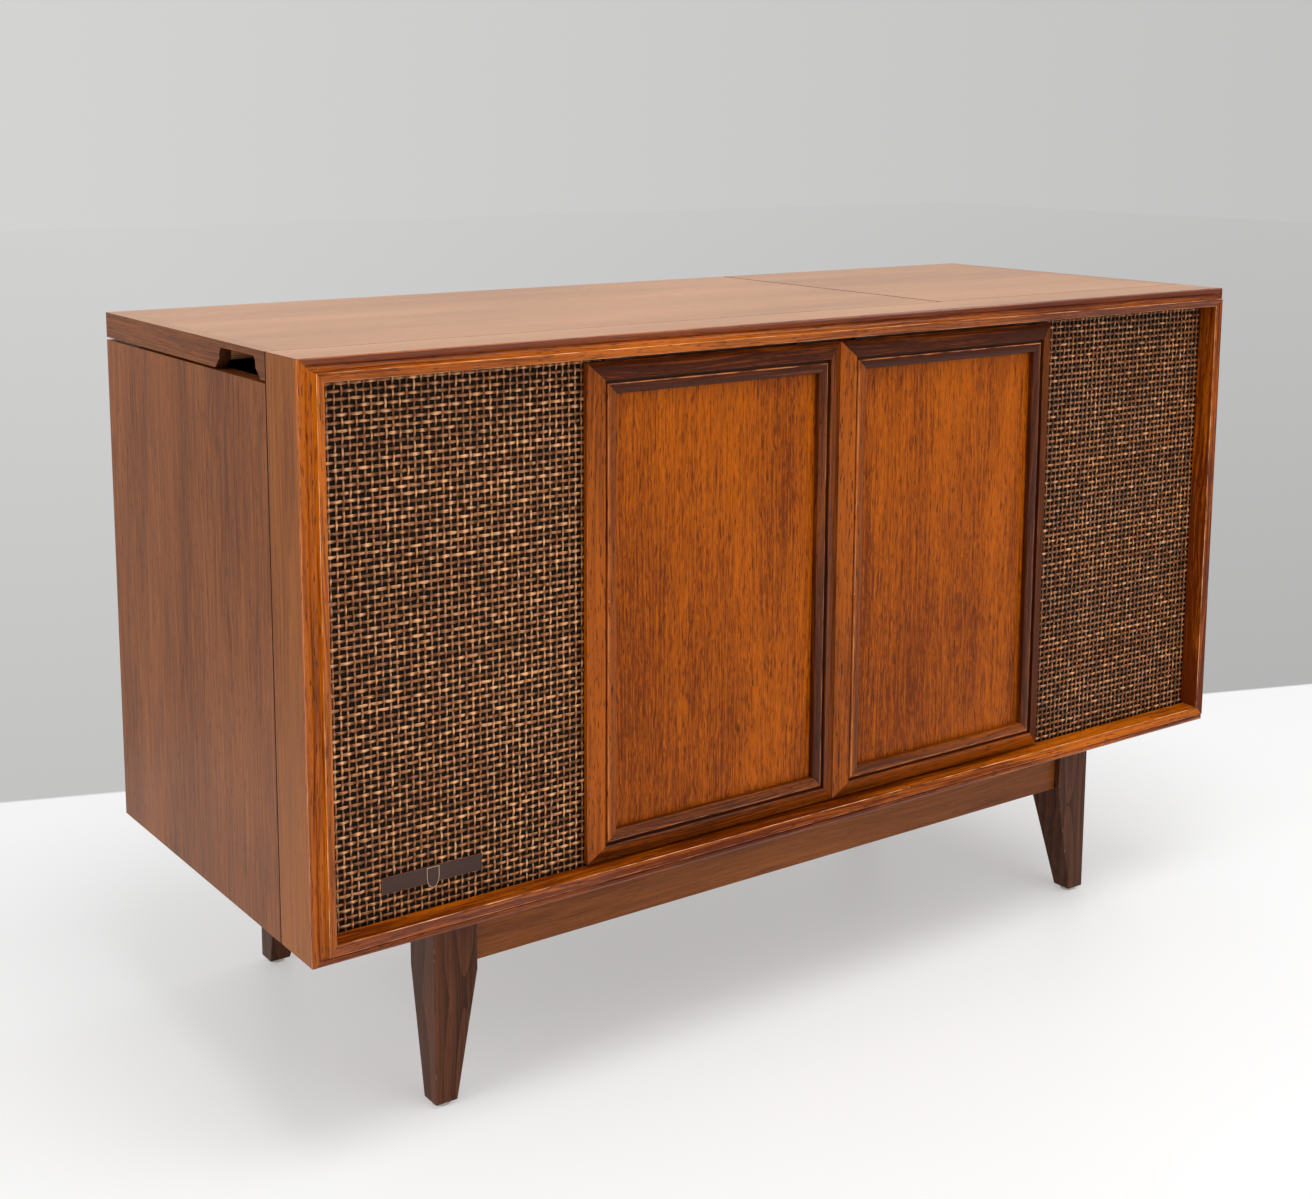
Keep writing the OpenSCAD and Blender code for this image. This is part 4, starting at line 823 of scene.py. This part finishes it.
def add_slab(bm, outline, back, face, rim_slot):
    """A plate with the given outline: a rim round a field that lies a little deeper."""
    xs, zs = [p.x for p in outline], [p.y for p in outline]
    centre = Vector(((min(xs) + max(xs)) / 2, (min(zs) + max(zs)) / 2))
    shrink = Vector((1 - 2 * RIM / (max(xs) - min(xs)), 1 - 2 * RIM / (max(zs) - min(zs))))
    inner = [centre + (p - centre) * shrink for p in outline]
    rings = [[bm.verts.new((p.x, y, p.y)) for p in ring] for ring, y in (
        (outline, back), (outline, face), (inner, face), (inner, face + FIELD_IN))]
    count = len(outline)
    for a, b in zip(rings, rings[1:]):
        for i in range(count):
            j = (i + 1) % count
            bm.faces.new((a[i], a[j], b[j], b[i])).material_index = rim_slot
    bm.faces.new(rings[0][::-1])
    bm.faces.new(rings[-1])


def shield_outline(x, top_z, width, height):
    points = [Vector((x - width / 2, top_z))]
    for i in range(SHIELD_STEPS + 1):
        a = math.pi * i / SHIELD_STEPS
        drop = SHIELD_SHOULDER + (1 - SHIELD_SHOULDER) * math.sin(a)
        points.append(Vector((x - width / 2 * math.cos(a), top_z - height * drop)))
    points.append(Vector((x + width / 2, top_z)))
    return points


low, high = (Vector(c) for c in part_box("badge_plate"))
bm = bmesh.new()
corners = [Vector((low.x, low.z + PLATE_UP)), Vector((high.x, low.z + PLATE_UP)),
           Vector((high.x, high.z)), Vector((low.x, high.z))]
add_slab(bm, corners, high.y, low.y + PLATE_BEHIND, 1)
shield_top = high.z - SHIELD_UP
add_slab(bm, shield_outline((low.x + high.x) / 2, shield_top, SHIELD_W, shield_top - low.z),
         high.y, low.y, 2)
badge = show("badge", close_mesh(bm, "badge", angle=20), bronze, "cabinet", "badge_metal",
             "badge_plate")
badge.data.materials.append(rim_bronze)
badge.data.materials.append(rim_copper)


# The doors are mitred frames of a broader moulding, outer slope, groove and bead, round a
# panel of ribbon-striped veneer. They slide sideways on nylon guides in strips of plastic
# track, so that they pass in front of the grilles.
SLOPE_W = 17
SLOPE_RISE = 6.5
GROOVE_W = 2.6
GROOVE_FLOOR = -2.5
DOOR_BEAD = 5.7
BEAD_FLAT = 0.5
BEAD_LOW = 0.4
DOOR_BACK = 5.8
PANEL_Y = 2.4
REBATE = 5


def door_profile():
    middle = SLOPE_W + GROOVE_W + DOOR_BEAD
    rise = DOOR_BEAD * BEAD_FLAT
    points = [(DOOR_BACK, 0, 0), (0.4, 0, 0.2), (-0.1, 0.35, 0.9), (-0.4, 0.9, 0.3),
              (-SLOPE_RISE + 0.3, SLOPE_W - 0.8, 0), (-SLOPE_RISE + 0.05, SLOPE_W - 0.3, 0.8),
              (-SLOPE_RISE + 0.4, SLOPE_W, 0.2), (GROOVE_FLOOR - 0.2, SLOPE_W, -0.9),
              (GROOVE_FLOOR, SLOPE_W + 0.2, -1), (GROOVE_FLOOR, SLOPE_W + GROOVE_W, -0.6)]
    # The groove is painted dark for its shade; a pale line near the bead's outer top is wear and a
    # painted highlight.
    for i in range(2 * ARC + 1):
        a = math.pi * i / (2 * ARC)
        rub_and_light = max(-0.35, 1.2 - 3.5 * abs(a - 0.25 * math.pi))
        points.append((BEAD_LOW - SLOPE_RISE + rise * (1 - math.sin(a)),
                       middle - DOOR_BEAD * math.cos(a), rub_and_light))
    inner = middle + DOOR_BEAD
    points += [(PANEL_Y, inner, -0.5), (PANEL_Y, inner - REBATE, 0), (DOOR_BACK, inner - REBATE, 0)]
    return [(d * MM, w * MM, wear_and_light) for d, w, wear_and_light in points]


# Its worn colour is wear and a painted highlight on the bead; its soaked colour is painted shade in
# the groove.
frame_wood = wood("walnut_door_frame", (0.065, 0.011, 0.001), (0.40, 0.085, 0.001), fibre=1.9,
                  mottle=1.9, rough=0.34, gloss=0.08, coat=0.2, coat_rough=0.10,
                  worn=(0.55, 0.19, 0.06), stain_and_painted_shade=(0.030, 0.007, 0.003), fleck=0.8, chips=0.74)
panel_wood = wood("door_veneer", (0.15, 0.025, 0.0002), (0.46, 0.099, 0.0004), axis="Z", fibre=2.2,
                  mottle=2.0, ribbon=2.0, fleck=0.7, spread=0.7, rough=0.34, gloss=0.10, fine=640.0)
for side, seed, shade in (("left", 3, 0.0), ("right", 11, 0.08)):
    low, high = (Vector(c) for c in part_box(side + "_door_frame"))
    bm = bmesh.new()
    # Each edge's tone is painted for how light falls: the top rail much darker for the shade under
    # the moulding, the right stile and bottom rail darker, the left stile lighter.
    frame_edges = (("top", high.x - low.x, high.z, -0.58), ("bottom", high.x - low.x, low.z, -0.18),
                   ("left", high.z - low.z, low.x, 0.10), ("right", high.z - low.z, high.x, -0.36))
    for n, (edge, length, at, tone_and_shade) in enumerate(frame_edges):
        place = on_edge(edge, (low.x + high.x) / 2, (low.z + high.z) / 2)
        add_stick(bm, length, door_profile(), place, at, seed + n, tone_and_shade + shade)
    show(side + "_door_sticks", close_mesh(bm, side), frame_wood, side + "_door", "walnut_door",
         side + "_door_frame")
dress(panel_wood, "left_door_panel", "right_door_panel")
nylon = plain("nylon_guide", (0.050, 0.028, 0.016), (0.085, 0.050, 0.030), scale=200, rough=0.45)
track_plastic = plain("track_plastic", (0.030, 0.022, 0.016), (0.055, 0.042, 0.030), scale=400,
                      rough=0.5)
dress(nylon, "door_guides_left", "door_guides_right")
dress(track_plastic, "door_tracks")


# Two lids of veneered board close the top, each with a solid end fascia that has a finger
# notch under it. Their satin lacquer takes a sheen at a low angle of view, and their colour is
# painted paler for that sheen and the light from above. The notches and the edges along the
# seams are painted dark for the shade in them.
EASED_TILT = (0.2, 0.96)
EASED_TURN = 0.25
ROOF_TILT = 0.6
NOTCH_START = 1 * MM
NOTCH_END = 2 * MM
# Darker walnut: painted shade in the hollow of the finger notch.
notch_painted_shade_wood = wood("notch_walnut_painted_shade", (0.050, 0.014, 0.005), (0.125, 0.040, 0.013), rough=0.3,
                  gloss=0.4)


def in_lid_seam(face, split):
    """The eased edges at the front and at the split between the lids."""
    tilted = EASED_TILT[0] < face.normal.z < EASED_TILT[1]
    return tilted and (face.normal.y < -EASED_TURN or face.normal.x * split > EASED_TURN)


def in_notch(face, low, high):
    return (abs(face.normal.x) < ROOF_TILT and face.center.z > low.z + NOTCH_START
            and low.y + NOTCH_END < face.center.y < high.y - NOTCH_END)


for side, seed, split in (("left", 21, 1), ("right", 22, -1)):
    board = worked(side + "_lid", side + "_lid_board", top_wood_painted_light, side + "_lid", "walnut_top",
                   ease=0.0014, axis="X", seed=seed)
    # The eased edges along the seams are painted dark: painted shade in the gaps.
    refinish(board, seam_painted_shade_wood, lambda face: in_lid_seam(face, split))
    fascia = worked(side + "_lid_fascia", side + "_fascia_board", side_wood, side + "_lid",
                    "walnut_side", ease=0.0007, axis="Y", seed=seed + 2, tone_and_shade=-0.3)
    low, high = (Vector(c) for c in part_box(side + "_lid_fascia"))
    end_y = low.y + NOTCH_START
    # The notch's faces are painted dark for the shade in it.
    refinish(fascia, notch_painted_shade_wood, lambda face: in_notch(face, low, high))
    # The fascia's front end is painted dark: painted shade in its seam.
    refinish(fascia, seam_painted_shade_wood, lambda face: face.normal.y < -SEAM_TURN and face.center.y < end_y)
    # The fascia's top face takes the paler top finish: painted light from above.
    refinish(fascia, top_wood_painted_light, lambda face: face.normal.z > UPWARD)


# Pressed brass hinges carry each lid at the rear rail, and a flat brass stay at the outer
# side holds it open. Rolled metal with a fine grain along X, lacquered and slightly dull.
brass = plain("rolled_brass", (0.52, 0.36, 0.14), (0.68, 0.50, 0.23), scale=300,
              stretch=(0.1, 1, 1), rough=0.32, spread=0.16, metal=1.0)
dress(brass, "hinge_leaves", "left_lid_fittings", "right_lid_fittings", "left_stay_arm",
      "right_stay_arm")


# The stand is four aprons with glued corner blocks between four tapered solid walnut legs,
# screwed up under the cabinet. Dark growth rings close in arches down the legs' faces, and
# their feet are chipped from years of moving. The legs stand on round steel glides.
leg_wood = wood("walnut_leg", (0.034, 0.011, 0.005), (0.150, 0.050, 0.022), fibre=1.3, mottle=0.9,
                figure=0.5, rings=26, slope=0.14, rough=0.36, gloss=0.12, worn=(0.16, 0.06, 0.03),
                fleck=0.3, chips=0.60, spread=0.6)
apron_wood = wood("walnut_apron", (0.10, 0.025, 0.004), (0.27, 0.082, 0.018), fibre=1.4,
                  mottle=1.2, figure=0.2, rough=0.40, gloss=0.15, worn=(0.32, 0.12, 0.04))
worked("legs", "leg_set", leg_wood, "cabinet", "walnut_leg", ease=0.0012, axis="Z", seed=31)
worked("stand_rails", "apron_set", apron_wood, "cabinet", "walnut_stand", ease=0.001, seed=32)
glide_steel = plain("glide_steel", (0.40, 0.38, 0.35), (0.60, 0.58, 0.54), scale=600, rough=0.4,
                    metal=1.0)
dress(glide_steel, "glides")


# The record changer stands on a pressed steel plate in cream enamel. Under it hang the
# grey painted motor and its stepped brass pulley, which drives the rubber-tyred idler.
enamel = plain("cream_enamel", (0.60, 0.54, 0.42), (0.68, 0.62, 0.50), scale=500, rough=0.28,
               coat=0.4, bump=0.05)
motor_paint = plain("motor_paint", (0.17, 0.17, 0.165), (0.24, 0.24, 0.23), scale=350, rough=0.45,
                    bump=0.3)
idler_rubber = plain("idler_rubber", (0.02, 0.019, 0.018), (0.045, 0.042, 0.04), scale=800,
                     rough=0.75)
dress(enamel, "changer_plate", "tonearm_posts")
dress(motor_paint, "changer_motor")
dress(brass, "motor_pulley")
dress(idler_rubber, "idler_wheel")


# The platter is turned from cast alloy, with fine lathe rings on its rim, and carries a
# moulded rubber mat whose ribs are bands of rings with smooth lands between them. A chrome
# spindle stands in the middle.
MAT_HOLE = 3.9 * MM
MAT_EASE = 0.4 * MM
RIB = 1.6 * MM
RIB_H = 0.5 * MM
RIB_BANDS = ((0.74, 0.93), (0.44, 0.66), (0.16, 0.36))
RIB_SHAPE = ((0, 0), (0.3, 1), (0.6, 1), (0.9, 0))


def lathe(name, profile, centre, steps=128):
    """A turned piece round a vertical axis from points of radius and height."""
    bm = bmesh.new()
    rings = []
    for r, z in profile:
        rings.append([bm.verts.new((centre.x + r * math.cos(2 * math.pi * k / steps),
                                    centre.y + r * math.sin(2 * math.pi * k / steps), z))
                      for k in range(steps)])
    rings.append(rings[0])
    for a, b in zip(rings, rings[1:]):
        for k in range(steps):
            m = (k + 1) % steps
            bm.faces.new((a[k], a[m], b[m], b[k]))
    return close_mesh(bm, name, angle=30)


alloy = plain("turned_alloy", (0.50, 0.48, 0.44), (0.66, 0.64, 0.60), scale=900,
              stretch=(0.3, 0.3, 3), rough=0.30, spread=0.12, metal=1.0, bump=0.2)
mat_rubber = plain("mat_rubber", (0.022, 0.019, 0.017), (0.042, 0.037, 0.033), scale=500,
                   rough=0.62, gloss=0.35)
chrome = plain("bright_chrome", (0.70, 0.70, 0.69), (0.80, 0.80, 0.79), scale=200, rough=0.12,
               spread=0.08, metal=1.0, bump=0.02)
dress(alloy, "platter")
dress(chrome, "spindle")
low, high = (Vector(c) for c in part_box("platter_mat"))
mat_r = (high.x - low.x) / 2
mat_profile = [(MAT_HOLE, low.z), (mat_r, low.z), (mat_r, high.z - MAT_EASE),
               (mat_r - MAT_EASE, high.z)]
for inner, outer in RIB_BANDS:
    for n in range(int((outer - inner) * mat_r / RIB)):
        r = outer * mat_r - n * RIB
        mat_profile += [(r - share * RIB, high.z - deep * RIB_H) for share, deep in RIB_SHAPE]
mat_profile.append((MAT_HOLE, high.z))
show("ribbed_mat", lathe("ribbed_mat", mat_profile, (low + high) / 2), mat_rubber, "platter",
     "mat_rubber", "platter_mat")


# The tonearm is moulded in ivory plastic and turns in a chromed yoke, and the overarm is
# chromed rod. A brown plastic lever sets the speed.
arm_plastic = plain("arm_plastic", (0.58, 0.52, 0.40), (0.66, 0.60, 0.48), scale=400, rough=0.32,
                    coat=0.3, bump=0.05)
lever_plastic = plain("lever_plastic", (0.035, 0.024, 0.018), (0.06, 0.045, 0.035), scale=500,
                      rough=0.35)
dress(arm_plastic, "tonearm")
dress(chrome, "tonearm_yoke", "overarm")
dress(lever_plastic, "speed_lever")


# The tuner stands beside the changer: a folded brass-finished panel, and a glass window over
# a dark scale with a red pointer. The scale is printed with two rows of plain numbers.
INK = 0.15 * MM
SCALE_Z = 652 * MM
SCALE_EDGE = 1 * MM
FIRST_MARK = 24 * MM
FM_ROW = 0.72
AM_ROW = 0.28
FM_MARKS = ("88", "92", "96", "100", "104", "108")
AM_MARKS = ("55", "60", "70", "80", "100", "120", "140", "160")
NUMBER_H = 7 * MM
NUMBER_BEHIND = 2.5 * MM
LINE_BEFORE = 5 * MM
LINE_W = 0.5 * MM
MARK = (0.6 * MM, 3 * MM)
MARK_BEFORE = 3.5 * MM
FINE_MARK = (0.35 * MM, 1.8 * MM)
FINE_BEFORE = 4.1 * MM
FINE_STEPS = 5

panel_brass = plain("brushed_panel", (0.36, 0.27, 0.13), (0.50, 0.39, 0.21), scale=900,
                    stretch=(0.02, 1, 1), rough=0.36, spread=0.14, metal=1.0, bump=0.15)
chassis_zinc = plain("chassis_zinc", (0.34, 0.35, 0.34), (0.46, 0.47, 0.46), scale=90, rough=0.42,
                     metal=0.9)
pointer_paint = plain("pointer_paint", (0.55, 0.06, 0.02), (0.66, 0.09, 0.03), scale=500,
                      rough=0.35)
scale_paint = plain("scale_paint", (0.020, 0.016, 0.012), (0.032, 0.026, 0.020), scale=300,
                    rough=0.5)
scale_ink = plain("scale_ink", (0.62, 0.55, 0.38), (0.72, 0.66, 0.50), scale=600, rough=0.6)
dress(panel_brass, "control_panel")
dress(chassis_zinc, "tuner_chassis")
dress(pointer_paint, "dial_pointer")


def window_glass():
    material, tree = new_material("dial_glass")
    place = own_place(tree)
    smear = noise(tree, place, (40.0, 40.0, 40.0), 4.0)["Fac"]
    clear = put(tree, "ShaderNodeBsdfTransparent", {
        "Color": mix_colour(tree, smear, (0.88, 0.93, 0.91), (0.94, 0.96, 0.95))})
    shine = put(tree, "ShaderNodeBsdfGlossy", {
        "Roughness": band(tree, smear, 0.3, 0.7, 0.02, 0.10)})
    fresnel = put(tree, "ShaderNodeFresnel", {"IOR": 1.5})
    shader = put(tree, "ShaderNodeMixShader", {
        0: fresnel.outputs[0], 1: clear.outputs[0], 2: shine.outputs[0]})
    finish_surface(tree, shader.outputs[0])
    return material


def add_bar(bm, x, y, width, depth, z):
    """A flat bar of ink or paint that lies on the height z."""
    corners = [(x - width / 2, y - depth / 2), (x + width / 2, y - depth / 2),
               (x + width / 2, y + depth / 2), (x - width / 2, y + depth / 2)]
    rings = [[bm.verts.new((cx, cy, h)) for cx, cy in corners] for h in (z, z + INK)]
    for i in range(4):
        j = (i + 1) % 4
        bm.faces.new((rings[0][i], rings[0][j], rings[1][j], rings[1][i]))
    bm.faces.new(rings[0][::-1])
    bm.faces.new(rings[1])


def add_number(bm, number, x, y, z):
    """A number in flat ink that is read from the front."""
    curve = bpy.data.curves.new("number", "FONT")
    curve.body, curve.size, curve.extrude = number, NUMBER_H, INK / 2
    curve.align_x, curve.align_y, curve.resolution_u = "CENTER", "CENTER", 3
    holder = bpy.data.objects.new("number", curve)
    mesh = bpy.data.meshes.new_from_object(holder)
    mesh.transform(Matrix.Translation((x, y, z + INK / 2)))
    bm.from_mesh(mesh)
    bpy.data.objects.remove(holder)
    bpy.data.curves.remove(curve)
    bpy.data.meshes.remove(mesh)


dress(window_glass(), "dial_window")
low, high = (Vector(c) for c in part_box("dial_window"))
middle_x = (low.x + high.x) / 2
board = bmesh.new()
add_bar(board, middle_x, (low.y + high.y) / 2, high.x - low.x, high.y - low.y - 2 * SCALE_EDGE,
        SCALE_Z)
show("scale_board", close_mesh(board, "scale_board"), scale_paint, "cabinet", "dark_plastic")
ink = bmesh.new()
line_z = SCALE_Z + INK
usable = high.x - low.x - 2 * FIRST_MARK
for row, numbers in ((FM_ROW, FM_MARKS), (AM_ROW, AM_MARKS)):
    y = low.y + row * (high.y - low.y)
    step = usable / (len(numbers) - 1)
    add_bar(ink, middle_x, y - LINE_BEFORE, usable, LINE_W, line_z)
    for n, number in enumerate(numbers):
        x = low.x + FIRST_MARK + step * n
        add_number(ink, number, x, y + NUMBER_BEHIND, line_z)
        add_bar(ink, x, y - MARK_BEFORE, *MARK, line_z)
        for k in range(1, FINE_STEPS if n + 1 < len(numbers) else 1):
            add_bar(ink, x + step * k / FINE_STEPS, y - FINE_BEFORE, *FINE_MARK, line_z)
show("scale_marks", close_mesh(ink, "scale_marks"), scale_ink, "cabinet", "dark_plastic")


# The four knobs are turned brass: a fluted skirt, a rounded rim and a spun dish on top with
# a painted mark. Their shafts go down through the panel.
FLUTES = 48
FLUTE_CUT = 0.45 * MM
KNOB_H = 16 * MM
SHAFT_R = 3 * MM
SKIRT_H = 3 * MM
RIM_W = 5 * MM
DISH = 1.2 * MM
DISH_RINGS = 8
DISH_CUT = 0.04 * MM
DOT_IN = 8.5 * MM
DOT = (1.2 * MM, 5 * MM)
DOT_UNDER = 0.05 * MM

spun_brass = plain("spun_brass", (0.50, 0.38, 0.19), (0.66, 0.53, 0.30), scale=500, rough=0.26,
                   spread=0.12, metal=1.0)
mark_paint = plain("mark_paint", (0.03, 0.02, 0.015), (0.05, 0.04, 0.03), scale=400, rough=0.5)


def knob_mesh(name, low, high):
    bm = bmesh.new()
    centre = (low + high) / 2
    radius = (high.x - low.x) / 2
    base_z = high.z - KNOB_H
    profile = [(SHAFT_R, low.z, 0), (SHAFT_R, base_z, 0), (radius, base_z, 0),
               (radius, base_z + SKIRT_H, 0), (radius - 1 * MM, base_z + 3.6 * MM, FLUTE_CUT),
               (radius - 1.3 * MM, high.z - 2.2 * MM, FLUTE_CUT),
               (radius - 1.9 * MM, high.z - 0.7 * MM, 0), (radius - 3 * MM, high.z, 0),
               (radius - 4.2 * MM, high.z - 0.3 * MM, 0), (radius - RIM_W, high.z - DISH, 0)]
    for n in range(1, DISH_RINGS + 1):
        profile.append(((radius - RIM_W) * (1 - n / (DISH_RINGS + 2)),
                        high.z - DISH - DISH_CUT * (n % 2), 0))
    steps = FLUTES * 4
    rings = []
    for r, z, cut in profile:
        ring = []
        for k in range(steps):
            a = 2 * math.pi * k / steps
            reach = r - cut if k % 4 < 2 else r
            ring.append(bm.verts.new((centre.x + reach * math.cos(a),
                                      centre.y + reach * math.sin(a), z)))
        rings.append(ring)
    for a, b in zip(rings, rings[1:]):
        for k in range(steps):
            m = (k + 1) % steps
            bm.faces.new((a[k], a[m], b[m], b[k]))
    bm.faces.new(rings[0][::-1])
    bm.faces.new(rings[-1])
    return close_mesh(bm, name, angle=28)


for knob in ("tuning_knob", "volume_knob", "tone_knob", "selector_knob"):
    low, high = (Vector(c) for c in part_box(knob))
    show(knob + "_turned", knob_mesh(knob, low, high), spun_brass, knob, "knob_metal", knob)
    mark = bmesh.new()
    add_bar(mark, (low.x + high.x) / 2, high.y - DOT_IN, *DOT, high.z - DISH - DOT_UNDER)
    show(knob + "_mark", close_mesh(mark, knob + "_mark"), mark_paint, knob, "dark_plastic")


# The amplifier behind the right grille is a zinc-plated chassis with a transformer and four
# valves, whose glass is dark with getter at the top.
GETTER = (0.318, 0.330)


def valve_glass():
    material, tree = new_material("valve_glass")
    place = own_place(tree)
    height = put(tree, "ShaderNodeSeparateXYZ", {0: place}).outputs["Z"]
    ripple = noise(tree, place, (60.0, 60.0, 60.0))["Fac"]
    getter = band(tree, multiply_add(tree, ripple, 0.01, height), *GETTER)
    clear = put(tree, "ShaderNodeBsdfPrincipled", {
        "Base Color": mix_colour(tree, ripple, (0.50, 0.55, 0.55), (0.60, 0.64, 0.64)),
        "Roughness": band(tree, ripple, 0, 1, 0.04, 0.09), "Transmission Weight": 0.85,
        "IOR": 1.45})
    mirror = put(tree, "ShaderNodeBsdfPrincipled", {
        "Base Color": mix_colour(tree, ripple, (0.26, 0.25, 0.24), (0.36, 0.35, 0.33)),
        "Roughness": band(tree, ripple, 0, 1, 0.15, 0.30), "Metallic": 0.9})
    shader = put(tree, "ShaderNodeMixShader", {
        0: getter, 1: clear.outputs[0], 2: mirror.outputs[0]})
    finish_surface(tree, shader.outputs[0])
    return material


dress(chassis_zinc, "amplifier")
dress(valve_glass(), "valves")
